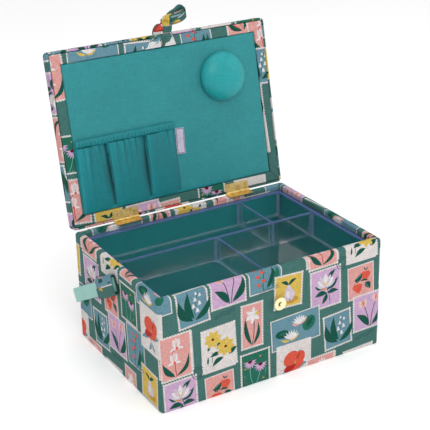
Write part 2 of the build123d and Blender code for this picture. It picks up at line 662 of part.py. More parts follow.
# ================================================================ tray
tray_w = WIDTH - 2 * TRAY_INSET
tray_d = DEPTH - 2 * TRAY_INSET
body_w = tray_w - 2 * FLANGE_WIDTH
body_d = tray_d - 2 * FLANGE_WIDTH
tray_top = LEDGE_Z + FLANGE
cell_w = body_w - 2 * TRAY_WALL
cell_d = body_d - 2 * TRAY_WALL
tray_floor = tray_top - TRAY_DEPTH + TRAY_WALL
with BuildPart() as tray:
    with BuildSketch(Plane.XY.offset(LEDGE_Z)):
        RectangleRounded(tray_w, tray_d, FLANGE_CORNER)
    extrude(amount=FLANGE)
    with BuildSketch(Plane.XY.offset(tray_top)):
        RectangleRounded(body_w, body_d, TRAY_CORNER)
    extrude(amount=-TRAY_DEPTH, taper=TRAY_DRAFT)
    cells = (
        (-cell_w / 2, CROSS_Y + TRAY_WALL / 2, BACK_DIVIDER_X - TRAY_WALL / 2, cell_d / 2),
        (BACK_DIVIDER_X + TRAY_WALL / 2, CROSS_Y + TRAY_WALL / 2, cell_w / 2, cell_d / 2),
        (-cell_w / 2, -cell_d / 2, FRONT_DIVIDER_X - TRAY_WALL / 2, CROSS_Y - TRAY_WALL / 2),
        (FRONT_DIVIDER_X + TRAY_WALL / 2, -cell_d / 2, cell_w / 2, CROSS_Y - TRAY_WALL / 2),
    )
    for x0, y0, x1, y1 in cells:
        with BuildSketch(Plane.XY.offset(tray_top)):
            with Locations(((x0 + x1) / 2, (y0 + y1) / 2)):
                RectangleRounded(x1 - x0, y1 - y0, CELL_CORNER)
        extrude(amount=tray_floor - tray_top, taper=TRAY_DRAFT, mode=Mode.SUBTRACT)
finish(tray, "tray")

# ================================================================ handle
leg_out = STRAP_X + STRAP_THICK
leg_mid = STRAP_X + STRAP_THICK / 2
bar_mid = HANDLE_REACH - STRAP_THICK / 2
with BuildPart() as handle_strap:
    with BuildSketch(HANDLE.offset(-STRAP_WIDE / 2)):
        with BuildLine():
            FilletPolyline(
                (-leg_mid, STRAP_START),
                (-leg_mid, bar_mid),
                (leg_mid, bar_mid),
                (leg_mid, STRAP_START),
                radius=STRAP_CORNER,
            )
        trace(line_width=STRAP_THICK)
    extrude(amount=STRAP_WIDE)
    with BuildSketch(Plane.YZ.offset(-leg_out - THROUGH)):
        with Locations((0, HANDLE_Z)):
            Circle(RIVET_R + PIN_CLEAR)
    extrude(amount=2 * (leg_out + THROUGH), mode=Mode.SUBTRACT)
finish(handle_strap, "handle_strap")

sleeve_mid = (SLEEVE_FROM + SLEEVE_TO) / 2
sleeve_long = SLEEVE_TO - SLEEVE_FROM
inner_x = STRAP_X - SLEEVE_PLY
sleeve_thick = SLEEVE_PLY + STRAP_THICK + SLEEVE_OUT
for side, name in ((-1, "left_sleeve"), (1, "right_sleeve")):
    with BuildPart() as sleeve:
        with BuildSketch(HANDLE.offset(-SLEEVE_WIDE / 2)):
            with Locations((side * (inner_x + sleeve_thick / 2), sleeve_mid)):
                Rectangle(sleeve_thick, sleeve_long)
        extrude(amount=SLEEVE_WIDE)
        long_edges = sleeve.edges().filter_by(lambda e: abs(e.length - sleeve_long) < 1e-6)
        outer = long_edges.sort_by(Axis.X)
        fillet(outer[-2:] if side > 0 else outer[:2], SLEEVE_ROLL)
        with BuildSketch(HANDLE.offset(-STRAP_WIDE / 2)):
            with Locations((side * leg_mid, (SLEEVE_TO + THROUGH + STRAP_START) / 2)):
                Rectangle(STRAP_THICK, SLEEVE_TO + THROUGH - STRAP_START)
        extrude(amount=STRAP_WIDE, mode=Mode.SUBTRACT)
        with BuildSketch(Plane.YZ.offset(side * (inner_x - THROUGH))):
            with Locations((0, HANDLE_Z)):
                Circle(RIVET_R + SLEEVE_HOLE_PLAY)
        extrude(amount=side * (2 * THROUGH + SLEEVE_PLY), mode=Mode.SUBTRACT)
        with BuildSketch(Plane.YZ.offset(side * leg_out)):
            with Locations((0, HANDLE_Z)):
                Circle(RIVET_HEAD_R + SLEEVE_SEAT)
        extrude(amount=side * SLEEVE_SEAT_DEEP, mode=Mode.SUBTRACT)
    finish(sleeve, name)

for side, name in ((-1, "left_handle_rivet"), (1, "right_handle_rivet")):
    start = HALF_W - LINING_INSET
    head_at = leg_out + RIVET_STAND
    with BuildPart() as rivet:
        with BuildSketch(Plane.YZ.offset(side * (start - WASHER_THICK))):
            with Locations((0, HANDLE_Z)):
                Circle(RIVET_HEAD_R - WASHER_UNDER)
        extrude(amount=side * WASHER_THICK)
        with BuildSketch(Plane.YZ.offset(side * start)):
            with Locations((0, HANDLE_Z)):
                Circle(RIVET_R)
        extrude(amount=side * (head_at - start))
        with BuildSketch(Plane.YZ.offset(side * head_at)):
            with Locations((0, HANDLE_Z)):
                Circle(RIVET_HEAD_R - RIVET_HEAD_UNDER)
        extrude(amount=side * RIVET_HEAD)
    finish(rivet, name)
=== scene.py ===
"""Looks of the fabric-covered sewing box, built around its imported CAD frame.

Lengths are in millimetres until a mesh is made; the axes and origin are the frame's.
Cloth is cut flat first: the print is laid out on the flat sheet, then the sheet is wrapped.
"""
import json
import math
import random

import bpy
import numpy as np
from mathutils import Matrix, Vector
from mathutils.geometry import delaunay_2d_cdt


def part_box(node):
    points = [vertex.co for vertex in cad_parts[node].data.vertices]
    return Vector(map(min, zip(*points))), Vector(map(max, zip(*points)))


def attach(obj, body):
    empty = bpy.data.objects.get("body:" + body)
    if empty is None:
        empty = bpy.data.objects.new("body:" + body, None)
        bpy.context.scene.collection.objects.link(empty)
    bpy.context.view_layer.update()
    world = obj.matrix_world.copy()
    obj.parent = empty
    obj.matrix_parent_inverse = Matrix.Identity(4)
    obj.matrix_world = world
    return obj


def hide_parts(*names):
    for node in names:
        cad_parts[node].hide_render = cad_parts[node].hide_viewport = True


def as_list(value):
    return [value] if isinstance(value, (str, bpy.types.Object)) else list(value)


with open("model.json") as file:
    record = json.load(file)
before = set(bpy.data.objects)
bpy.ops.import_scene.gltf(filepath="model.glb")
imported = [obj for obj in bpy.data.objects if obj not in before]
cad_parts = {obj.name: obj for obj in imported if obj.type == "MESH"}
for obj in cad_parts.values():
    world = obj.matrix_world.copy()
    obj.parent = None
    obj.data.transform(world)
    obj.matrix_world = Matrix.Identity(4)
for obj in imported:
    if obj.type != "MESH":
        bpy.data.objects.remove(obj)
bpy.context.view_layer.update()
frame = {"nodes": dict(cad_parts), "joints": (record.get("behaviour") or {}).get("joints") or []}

MM = 0.001


def box(node):
    """Lowest and highest corner of a CAD node, in millimetres."""
    low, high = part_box(node)
    return low / MM, high / MM


# ================================================================ places, read from the frame
HALF_W, HALF_D, HEIGHT = box("case_cover")[1]
HEM = HALF_W - box("base_cloth")[1].x
CORNER = 4.5
RIM_WIDTH = 8.0
RIM_ROUND = 3.6
RIM_ROUND_IN = 2.2
RIM_DROP = 5.0                       # how far the cover goes down inside the rim

JOINTS = {j["name"]: j for j in frame["joints"]}
OPEN_ANGLE = JOINTS["lid_hinge"]["range_deg"][1]
HINGE = Vector(JOINTS["lid_hinge"]["pos_m"]) / MM
LEAN = math.radians(OPEN_ANGLE - 90)
LID_HALF_W = 130.2
LID_REAR = -0.6
LID_FRONT = 186.6
CATCH_X = 2.0
LID_MID = (LID_REAR + LID_FRONT) / 2
LID_HALF_L = (LID_FRONT - LID_REAR) / 2
FACE = -0.8                          # frame face, above the hinge axis towards the inside
LID_OUT = FACE - 14.0                # outer face
SHELL_SET_BACK = 0.6
PANEL_FACE = FACE - 0.8
FRAME_INSET = 2.6
FRAME_RAIL = 11.0


class Plane:
    """A drawing plane in the frame: x across, y along, z out of it."""

    def __init__(self, origin, x, y):
        self.origin = Vector(origin)
        self.x = Vector(x)
        self.y = Vector(y)
        self.z = self.x.cross(self.y)

    def at(self, x, y, z=0.0):
        return self.origin + self.x * x + self.y * y + self.z * z

    def along(self, x, y, z):
        return self.x * x + self.y * y + self.z * z


LID = Plane(HINGE, (1, 0, 0), (0, math.sin(LEAN), math.cos(LEAN)))


# ================================================================ colours of the print
def srgb(red, green, blue):
    """Linear colour for screen values from 0 to 255."""
    return tuple(
        c / 12.92 if c <= 0.04045 else ((c + 0.055) / 1.055) ** 2.4
        for c in (red / 255, green / 255, blue / 255)
    )


GROUND = srgb(78, 126, 120)
CREAM = srgb(243, 236, 233)
WHITE = srgb(248, 244, 246)
LILAC = srgb(222, 184, 222)
PINK = srgb(243, 176, 170)
BLUSH = srgb(249, 213, 203)
YELLOW = srgb(238, 203, 98)
GOLD = srgb(212, 164, 70)
BLUE = srgb(116, 160, 176)
SKY = srgb(160, 192, 202)
DEEP = srgb(44, 120, 100)
LEAF = srgb(24, 92, 78)
SAGE = srgb(70, 118, 108)
MIST = srgb(150, 196, 188)
CORAL = srgb(240, 100, 78)
BRICK = srgb(196, 52, 48)
WINE = srgb(112, 24, 40)
INK = srgb(36, 84, 80)
PEARL = srgb(228, 214, 230)


# ================================================================ shapes of the print
LEAF_STEPS = 6


def rectangle(half_x, half_y):
    return [Vector((x * half_x, y * half_y)) for x, y in ((-1, -1), (1, -1), (1, 1), (-1, 1))]


def patch(colour, *corners, shift=(0, 0)):
    """A straight-sided shape between corners."""
    return colour, [Vector(c) + Vector(shift) for c in corners]


def leaf(colour, x, y, long, wide, turn, bow=0.0):
    """A pointed oval growing from (x, y) towards turn degrees, bowed to its left."""
    ahead = Vector((math.cos(math.radians(turn)), math.sin(math.radians(turn))))
    left = Vector((-ahead.y, ahead.x))
    sides = ([], [])
    for k in range(1, LEAF_STEPS):
        t = k / LEAF_STEPS
        half = wide / 2 * math.sin(math.pi * t**0.85)
        spine = Vector((x, y)) + ahead * long * t + left * bow * long * math.sin(math.pi * t)
        sides[0].append(spine - left * half)
        sides[1].append(spine + left * half)
    return colour, [Vector((x, y)), *sides[0], Vector((x, y)) + ahead * long, *reversed(sides[1])]


def oval(colour, x, y, across, high, turn=0.0, points=12):
    c, s = math.cos(math.radians(turn)), math.sin(math.radians(turn))
    outline = []
    for k in range(points):
        a = 2 * math.pi * k / points
        p, q = across / 2 * math.cos(a), high / 2 * math.sin(a)
        outline.append(Vector((x + p * c - q * s, y + p * s + q * c)))
    return colour, outline


def stem(colour, x0, y0, x1, y1, wide=0.7, bow=0.0):
    """A thin strip from one point to another."""
    start, end = Vector((x0, y0)), Vector((x1, y1))
    ahead = (end - start).normalized()
    left = Vector((-ahead.y, ahead.x))
    sides = ([], [])
    steps = 5 if bow else 1
    for k in range(steps + 1):
        t = k / steps
        spine = start.lerp(end, t) + left * bow * (end - start).length * math.sin(math.pi * t)
        sides[0].append(spine - left * wide / 2)
        sides[1].append(spine + left * wide / 2)
    return colour, [*sides[0], *reversed(sides[1])]


def bloom(colour, x, y, reach, petals, wide, turn=90.0, spread=360.0):
    """Petals around a point, over spread degrees centred on turn."""
    whole = spread >= 360
    step = spread / petals if whole else spread / (petals - 1)
    first = turn if whole else turn - spread / 2
    for k in range(petals):
        yield leaf(colour, x, y, reach, wide, first + k * step)


def several(draw, colour, *rows):
    """One shape of the same kind and colour for each row of its other values."""
    for row in rows:
        yield draw(colour, *row)


def bell(colour, x, y, size):
    right = ((0.35, 1), (0.62, -0.1), (1, -1), (0.4, -0.75))
    outline = [*right, (0, -1.15), *((-p, q) for p, q in reversed(right))]
    return colour, [Vector((x + p * size / 2, y + q * size / 2)) for p, q in outline]


def circle_line(colour, x, y, radius, wide=0.75, sides=16):
    """A circle's line, as short bars."""
    for k in range(sides):
        a, b = (2 * math.pi * n / sides for n in (k, k + 1))
        yield colour, [
            Vector((x + r * math.cos(t), y + r * math.sin(t)))
            for r, t in ((radius, a), (radius + wide, a), (radius + wide, b), (radius, b))
        ]


# ================================================================ the stamps' pictures
def bellflowers():
    yield from several(
        leaf, LEAF, (-1, -15, 29, 9, 118, 0.16), (0, -13, 30, 7.5, 97, 0.12), (1, -15, 27, 7, 47, -0.14))
    yield stem(SAGE, 1, -13, 7, 14, 0.8, 0.05)
    yield from several(
        bell, WHITE, (4.5, -5, 4.6), (0.8, 0.5, 4.6), (7.5, 2, 4.4), (3.2, 7, 4.2), (8.6, 10.5, 3.4),
        (4.6, 13, 3))


def tulips():
    yield from several(stem, INK, (1, -19, -5, 6, 0.9, -0.04), (3, -19, 9, 9, 0.9, 0.05))
    yield from several(leaf, LEAF, (0, -18, 23, 7.5, 132, -0.1), (4, -18, 28, 8, 62, -0.16))
    for x, y, turn in ((-6, 5, 100), (9, 8, 80)):
        yield from several(leaf, BLUSH, (x, y, 11, 5.5, turn + 24), (x, y, 11, 5.5, turn - 24))
        yield leaf(PINK, x, y, 10, 4.6, turn)
        yield leaf(CORAL, x + 0.3, y + 3, 5.5, 1.3, turn)


def berries():
    yield stem(LEAF, -3, -20, 3, 17, 0.9, 0.06)
    yield leaf(LEAF, 1, -19, 24, 6.5, 70, -0.12)
    yield leaf(DEEP, 7, -19, 23, 7, 72, -0.1)
    for x, y in ((-8, -13), (-2.5, -9.5), (-9, -4), (-3.5, 0), (-9.5, 5), (-1.5, 8), (-7, 13.5), (3.2, 15)):
        yield stem(LEAF, x, y, x + 4, y - 2.4, 0.6)
        yield oval(CORAL, x, y, 4, 4, points=9)


def pear():
    yield from several(leaf, LEAF, (0, 6, 10.5, 3.8, 152, -0.12), (0, 6, 11, 3.8, 32, 0.12))
    yield stem(LEAF, 0, 3, 0, 8, 0.8)
    yield oval(GOLD, 5, -11, 15, 6.5, 8)
    yield oval(PEARL, 1.4, -5, 12.6, 13.5)
    yield leaf(PEARL, 0.6, -5, 12, 8, 95)
    yield oval(WHITE, -0.5, -4, 4.5, 8, 14)
    yield oval(WINE, 2, -10.6, 1.7, 1.5, points=8)


def lotus():
    yield stem(INK, 1, 1, 5, -19, 0.7, 0.05)
    yield from several(
        leaf, LEAF, (3, 8, 14, 5, 48, 0.1), (1, -2, 18, 5, 38, -0.12), (-3, 1, 11, 4.5, 158, 0.1),
        (1.5, -6, 15, 6, 183, -0.12), (1.5, -6, 14, 5, -2, 0.1), (1.5, -6, 13, 5, 240, 0.08))
    for colour, lean, long in ((PEARL, 75, 12), (WHITE, 50, 13), (PEARL, 28, 14), (WHITE, 0, 15)):
        yield from several(leaf, colour, (0, 2, long, 5.6, 90 + lean), (0, 2, long, 5.6, 90 - lean))
    yield from several(leaf, YELLOW, (0, 2, 8, 1.2, 112), (0, 2, 8, 1.2, 68))
    yield oval(GOLD, -2.6, -0.4, 6.5, 2.2, -14)


def strawfruit():
    for x, y, turn in ((6, 5, 74), (-4.5, -7, 84)):
        yield from several(oval, CORAL, (x - 1.8, y + 1.4, 7.5, 9, turn), (x + 1.8, y + 1.2, 7.5, 9, turn))
        yield leaf(CORAL, x, y + 4, 11, 9, turn + 196)
        yield from several(leaf, LEAF, (x, y + 6, 4.6, 1.6, turn + 40), (x, y + 6, 4.6, 1.6, turn - 36))
    yield from several(
        leaf, LEAF, (2, 8, 12, 6, 208, 0.14), (-1, 0.6, 11, 2.4, -12, 0.08), (5, -3, 11, 7, -52, 0.1))
    yield from several(stem, MIST, (5.6, -4, 9.6, -10, 0.5), (0, 7, -5.5, 4, 0.5))


def ribbon_leaves():
    yield leaf(LEAF, 0, -17, 25, 5.5, 134, 0.2)
    yield leaf(CORAL, 0.3, -16, 24, 1.3, 122, 0.2)
    yield leaf(LEAF, 1, -17, 30, 5.5, 82, -0.14)
    yield leaf(BRICK, 1, -15, 26, 1.3, 96, 0.1)
    yield leaf(CORAL, 2, -16, 22, 1.2, 56, -0.16)
    yield from bloom(BLUSH, -3, 9, 9, 6, 5, 20)
    yield oval(CORAL, -3, 9, 3.4, 3.4, points=9)


def yellow_bloom():
    yield from several(
        leaf, LEAF, (3, 0, 14, 8, 205, 0.06), (6, 0, 13, 8, 292, 0.08), (3, 4, 13, 4, 150, 0.14),
        (-11, -10, 12, 3, 112, 0.18))
    yield leaf(SAGE, -9, -12, 9, 2, 82, -0.14)
    yield from bloom(YELLOW, 4, 4, 11.5, 8, 7, 10)
    yield oval(GOLD, 4, 4, 4.4, 4.4, points=10)
    yield oval(WINE, 4, 4, 2, 2, points=8)


def irises():
    yield from several(stem, BRICK, (0, -21, -1, -4, 0.8, 0.04), (-4, 0, -1, 8, 0.8, 0.1))
    yield from several(leaf, LEAF, (-2, -21, 22, 6, 126, 0.1), (-1, -21, 26, 4.6, 55, -0.2))
    for x, y in ((-2, -6), (1.5, 9)):
        yield from several(
            leaf, WHITE, (x, y, 8, 2.6, 190, -0.1), (x, y, 8, 2.6, -8, 0.1), (x, y, 11, 5, 108),
            (x, y, 11, 5, 72))
        yield leaf(CREAM, x, y, 12, 5, 90)
        for turn in (104, 90, 76):
            tip = (x + 8 * math.cos(math.radians(turn)), y + 8.6 * math.sin(math.radians(turn)))
            yield stem(PINK, x, y + 2, *tip, 0.45)
        yield leaf(CORAL, x + 0.4, y - 1.4, 3.6, 3, 90)


def yellow_pair():
    yield from several(
        leaf, LEAF, (-3, -1, 13, 6, 38, 0.1), (-13, 0, 6, 3, 60), (1, -6, 12, 4.6, 188, -0.1),
        (10, -11, 11, 6.5, 30, 0.12), (4, -12, 15, 5.4, 207, -0.12), (-14, -15, 9, 2.2, 84))
    yield stem(SAGE, -9, -14, -8, -3, 0.6)
    for x, y, reach, turn in ((-6.5, 11, 10, 12), (7, -1, 11, 30)):
        yield from bloom(YELLOW, x, y, reach, 8, 6.4, turn)
        yield oval(WINE, x, y, 3.4, 2.8, points=9)


def trumpet_lily():
    yield stem(INK, 0, -21, 2, 8, 0.9, -0.04)
    yield from several(leaf, LEAF, (-0.5, -22, 34, 5, 102, 0.08), (1, -22, 25, 4.2, 76, -0.12))
    yield from bloom(WHITE, 1, 11, 9.5, 6, 4.6, 22)
    yield leaf(CREAM, 1, 11, 8, 4, 15)
    yield leaf(YELLOW, 3, 11, 7, 3.4, 28)
    yield oval(GOLD, 8.6, 14, 1.8, 3.4, 28, points=9)


def water_lilies():
    yield oval(DEEP, 16, 2, 18, 15, 48)
    yield leaf(LEAF, 13, -2, 13, 5, 50)
    yield oval(LEAF, -16, -1, 17, 9.5, -8)
    yield leaf(DEEP, -20, 0, 12, 3.4, -6)
    yield from several(leaf, YELLOW, (-8, -11, 13, 3, 20, -0.08), (-8, -11, 11, 3, 160, 0.08))
    yield from bloom(WHITE, -6, -10, 11, 7, 2.6, 84, 116)
    yield from several(leaf, PINK, (4, 4, 12, 3.4, 30, -0.1), (4, 4, 9, 3, 160, 0.1))
    yield from bloom(WHITE, 5, 4.5, 10.5, 7, 2.4, 92, 116)


def coneflowers():
    for x0, x1, y1, bow in ((-3, -6, 8, 0.06), (0, 6, 2, -0.06), (-5, -13, -4, 0.14), (3, 12, -3, -0.14)):
        yield stem(MIST, x0, -18, x1, y1, 0.6, bow)
    yield from several(leaf, SAGE, (-6, -18, 16, 3.6, 118, 0.16), (4, -18, 15, 3.4, 62, -0.16))
    for x, y in ((-6, 9), (6, 3)):
        yield from bloom(LILAC, x, y, 8, 9, 1.9, 270, 196)
        yield oval(WINE, x, y + 0.6, 5, 3.6, points=10)
    for x, y in ((6, 13), (9, -13), (-12, 3)):
        yield oval(GOLD, x, y, 2.6, 1.8, points=8)


def poppy():
    yield leaf(SKY, 0, 0, 18, 4.2, 62, 0.06)
    yield from several(
        leaf, BLUE, (4, -8, 14, 5, 20, 0.14), (-4, -9, 15, 4.4, 196, -0.12), (0, -12, 11, 3.6, 246, 0.1),
        (2, -12, 11, 3.4, 310, -0.1))
    yield stem(BLUE, 0, -6, 1, -19, 0.8)
    yield from several(oval, CORAL, (-3, 6, 20, 17, 30), (7, 5, 13, 16, -20), (1, -2, 22, 13, 8))
    yield oval(BRICK, -5, -4, 15, 8, 20)
    yield leaf(BRICK, 2, 1, 13, 2, 62)
    yield leaf(CORAL, -9, 0, 16, 6, 12)
    yield oval(GOLD, 1.5, 0.6, 3, 3.4, points=9)


# ================================================================ the sheet's repeat
TOOTH = 3.0                          # pitch of the stamps' perforations
TOOTH_DEEP = 1.0
TOOTH_PROUD = 0.1
TOOTH_ROOT = 0.28                    # where a tooth begins, as a share of the pitch
MARGIN = 1.95                        # white edge inside the perforations
PLAIN_MARGIN = 1.15                  # white edge of a stamp without perforations

# picture, ground colour, across, high, perforated
STAMPS = {
    "bellflowers": (bellflowers, BLUE, 35, 41, True),
    "tulips": (tulips, LILAC, 40, 43, True),
    "berries": (berries, BLUE, 38, 45, False),
    "pear": (pear, YELLOW, 34, 37, True),
    "lotus": (lotus, LILAC, 38, 45, True),
    "strawfruit": (strawfruit, PINK, 33, 38, False),
    "ribbon_leaves": (ribbon_leaves, PINK, 40, 44, True),
    "yellow_bloom": (yellow_bloom, CREAM, 38, 42, False),
    "irises": (irises, PINK, 36, 49, True),
    "yellow_pair": (yellow_pair, CREAM, 39, 48, True),
    "trumpet_lily": (trumpet_lily, PINK, 26, 50, True),
    "water_lilies": (water_lilies, BLUE, 59, 36, False),
    "coneflowers": (coneflowers, DEEP, 35, 41, True),
    "poppy": (poppy, CREAM, 42, 49, False),
}
REPEAT_A = Vector((169, -74))
REPEAT_B = Vector((0, 148))
SHIFTS = [REPEAT_A * i + REPEAT_B * j for i in range(-4, 5) for j in range(-4, 5)]
STAMP_REACH = 40                     # no stamp reaches further from its middle
# the repeat's stamps on the front wall, measured from the middle of its foot: x, height, tilt
REPEAT = (
    ("bellflowers", -93, 106, 5),
    ("tulips", -54, 117, 2),
    ("berries", -12, 122, 2),
    ("pear", 15, 93.5, -2),
    ("lotus", 60, 84, 2),
    ("strawfruit", 104, 80, 3),
    ("ribbon_leaves", 55, 133, 2),
    ("yellow_bloom", 103, 124, 1),
    ("irises", -113, 58, 2),
    ("yellow_pair", -65, 54, 3),
    ("trumpet_lily", -27.5, 67, 0),
    ("water_lilies", 24, 48, 3),
    ("coneflowers", -24, 17, 1),
    ("poppy", 22, 9, 0),
)
POSTMARKS = ((80, 107, 6.5), (80, 107, 4.2))
WAVES = ((-58, 86), (-8, 97))        # three rows of cancelling waves each
WAVE_LONG = 6                        # half a wave
WAVE_RISE = 0.9
WAVE_BOW = 0.12
WAVE_PITCH = 1.7


def perforated(wide, high, toothed):
    """The outline of a stamp's paper, with a row of teeth along each side."""
    corners = rectangle(wide / 2, high / 2)
    if not toothed:
        return corners
    points = []
    for start, end in zip(corners, corners[1:] + corners[:1]):
        ahead = (end - start).normalized()
        out = Vector((ahead.y, -ahead.x))
        teeth = round((end - start).length / TOOTH)
        step = (end - start).length / teeth
        for n in range(teeth):
            base = start + ahead * step * n
            points.append(base - out * (TOOTH_DEEP if n else 0))
            for share in (TOOTH_ROOT, 1 - TOOTH_ROOT):
                points.append(base + ahead * step * share + out * TOOTH_PROUD)
    return points


def stamp(kind, x, y, tilt=0.0, grow=1.0):
    """One stamp's shapes on the sheet, in painting order."""
    picture, ground, wide, high, toothed = STAMPS[kind]
    turn = Matrix.Rotation(math.radians(tilt), 2) * grow
    edge = MARGIN if toothed else PLAIN_MARGIN
    card = rectangle(wide / 2 - edge, high / 2 - edge)
    shapes = [(CREAM, perforated(wide, high, toothed)), (ground, card), *picture()]
    return [(colour, [turn @ p + Vector((x, y)) for p in points]) for colour, points in shapes]


def repeat_print(low, high, origin):
    """Every stamp and mark of the repeat that reaches the sheet between two corners, seen from origin."""
    shapes = []
    for shift in SHIFTS:
        for kind, x, y, tilt in REPEAT:
            at = Vector((x, y)) + shift
            if all(low[k] - STAMP_REACH < at[k] < high[k] + STAMP_REACH for k in (0, 1)):
                shapes += stamp(kind, at.x, at.y, tilt)
        for x, y, radius in POSTMARKS:
            shapes += circle_line(INK, x + shift.x, y + shift.y, radius)
        for x, y in WAVES:
            for row in range(3):
                for n in range(4):
                    x0 = x + shift.x + WAVE_LONG * (n - 2)
                    y0 = y + shift.y + WAVE_PITCH * row + WAVE_RISE * n
                    bow = WAVE_BOW if n % 2 else -WAVE_BOW
                    shapes.append(stem(INK, x0, y0, x0 + WAVE_LONG, y0 + WAVE_RISE, 0.5, bow))
    return [(colour, [p - origin for p in shape]) for colour, shape in shapes]


# ================================================================ wrapping flat sheets
class Profile:
    """A section followed over distance, in (inset, height): straight runs and arcs.

    Each run is (length, 0) or (radius, turn in degrees). side says which way the cloth faces.
    """

    ARC_STEPS = 6

    def __init__(self, inset, height, heading, runs, zero=0.0, side=1):
        self.start = (inset, height, math.radians(heading))
        self.runs = runs
        self.zero = zero
        self.side = side

    def lengths(self):
        return [size * math.radians(abs(turn)) if turn else size for size, turn in self.runs]

    def bends(self):
        """Distances at which the sheet needs an edge."""
        found, at = [], self.zero
        for (_, turn), length in zip(self.runs, self.lengths()):
            count = self.ARC_STEPS if turn else 1
            found += [at + length * k / count for k in range(count)]
            at += length
        return [*found, at]

    def at(self, distance):
        """(inset, height, facing out, facing up) at a distance along the sheet."""
        inset, height, heading = self.start
        left = distance - self.zero
        for (size, turn), length in zip(self.runs, self.lengths()):
            part = min(left, length)
            if turn:
                swing = math.copysign(part / size, turn)
                side = math.copysign(1, turn)
                inset += side * size * (math.sin(heading + swing) - math.sin(heading))
                height -= side * size * (math.cos(heading + swing) - math.cos(heading))
                heading += swing
            else:
                inset += part * math.cos(heading)
                height += part * math.sin(heading)
            left -= part
            if left <= 1e-9:
                break
        return inset, height, self.side * math.sin(heading), self.side * math.cos(heading)


def plan_point(along, inset, half_a, half_b, corner):
    """A point of a rounded box's outline, set in, and the way it faces: both (along, out)."""
    reach, sign = abs(along), math.copysign(1, along)
    radius = corner - inset
    over = reach - (half_a - corner)
    if radius <= 0 or over <= 0:
        return sign * min(reach, half_a - max(inset, 0)), half_b - inset, 0.0, 1.0
    turn = math.pi / 4 * min(1, over / radius)
    return (
        sign * (half_a - corner + radius * math.sin(turn)),
        half_b - corner + radius * math.cos(turn),
        sign * math.sin(turn),
        math.cos(turn),
    )


CORNER_STEPS = 5


def strip_outline(half_a, profile):
    """The flat outline of one side's strip, mitred at both ends."""
    ends = [(half_a - max(profile.at(t)[0], 0), t) for t in profile.bends()]
    return [(a, t) for a, t in ends] + [(-a, t) for a, t in reversed(ends)]


def strip_lines(half_a, corner, profile):
    """Edges the strip needs where it bends."""
    lines = []
    for t in profile.bends()[1:-1]:
        a = half_a - max(profile.at(t)[0], 0)
        lines.append(((-a, t), (a, t)))
    low, high = profile.bends()[0], profile.bends()[-1]
    for a in steps(half_a - corner, half_a, CORNER_STEPS)[:-1]:
        lines += [((x, low), (x, high)) for x in (-a, a)]
    return lines


# ================================================================ meshes
UV_UNIT = 100                        # mm of cloth for one unit of its coordinates


def steps(low, high, count):
    """Evenly spaced places from low to high."""
    return [low + (high - low) * k / count for k in range(count + 1)]


def quads(rows, columns, first=0, closed=False, flip=False):
    """Faces over a net of points, row by row; closed joins each row's end to its start."""
    faces = []
    for i in range(rows - 1):
        for k in range(columns if closed else columns - 1):
            n, m = first + i * columns + k, first + i * columns + (k + 1) % columns
            quad = [n, m, m + columns, n + columns]
            faces.append([quad[0], *quad[:0:-1]] if flip else quad)
    return faces


def build(name, points, faces, finish, body, replaces=(), normals=None, colours=None, cloth=None):
    """A smooth mesh piece from points in millimetres, welded, riding on its body."""
    seen, index, places, facing = {}, [], [], []
    for n, p in enumerate(points):
        key = tuple(round(c, 4) for c in p)
        if key not in seen:
            seen[key] = len(places)
            places.append(Vector(p) * MM)
            facing.append(normals[n] if normals else None)
        index.append(seen[key])
    used, sources, tints = [], [], []
    for n, face in enumerate(faces):
        corners = {}
        for i in face:
            corners.setdefault(index[i], i)
        if len(corners) > 2:
            used.append(list(corners))
            sources.append(list(corners.values()))
            tints.append(colours[n] if colours else None)
    order = {i: n for n, i in enumerate(sorted({i for corners in used for i in corners}))}
    mesh = bpy.data.meshes.new(name)
    mesh.from_pydata([places[i] for i in order], [], [[order[i] for i in corners] for corners in used])
    # the 'print' colours hold the cloth's print, and on the pocket and its casing their painted shade and
    # light
    if colours:
        layer = mesh.color_attributes.new("print", "FLOAT_COLOR", "CORNER")
        values = [c for tint, corners in zip(tints, used) for _ in corners for c in (*tint, 1.0)]
        layer.data.foreach_set("color", values)
    if cloth:
        uv = mesh.uv_layers.new(name="cloth")
        flat = [cloth[i][k] / UV_UNIT for corners in sources for i in corners for k in (0, 1)]
        uv.data.foreach_set("uv", flat)
    mesh.shade_smooth()
    if normals:
        mesh.normals_split_custom_set_from_vertices([facing[i].normalized() for i in order])
    piece = bpy.data.objects.new(name, mesh)
    bpy.context.scene.collection.objects.link(piece)
    mesh.materials.append(finish)
    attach(piece, body)
    if replaces:
        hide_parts(*replaces)
    return piece


def inside(points, outline):
    """Which of the points (n x 2) lie inside a closed outline."""
    outline = np.array([tuple(p) for p in outline])
    x, y = points[:, :1], points[:, 1:]
    x0, y0 = outline.T
    x1, y1 = np.roll(outline, -1, axis=0).T
    spans = (y0 > y) != (y1 > y)
    with np.errstate(divide="ignore", invalid="ignore"):
        cut = x < (x1 - x0) * (y - y0) / (y1 - y0) + x0
    return (spans & cut).sum(axis=1) % 2 == 1


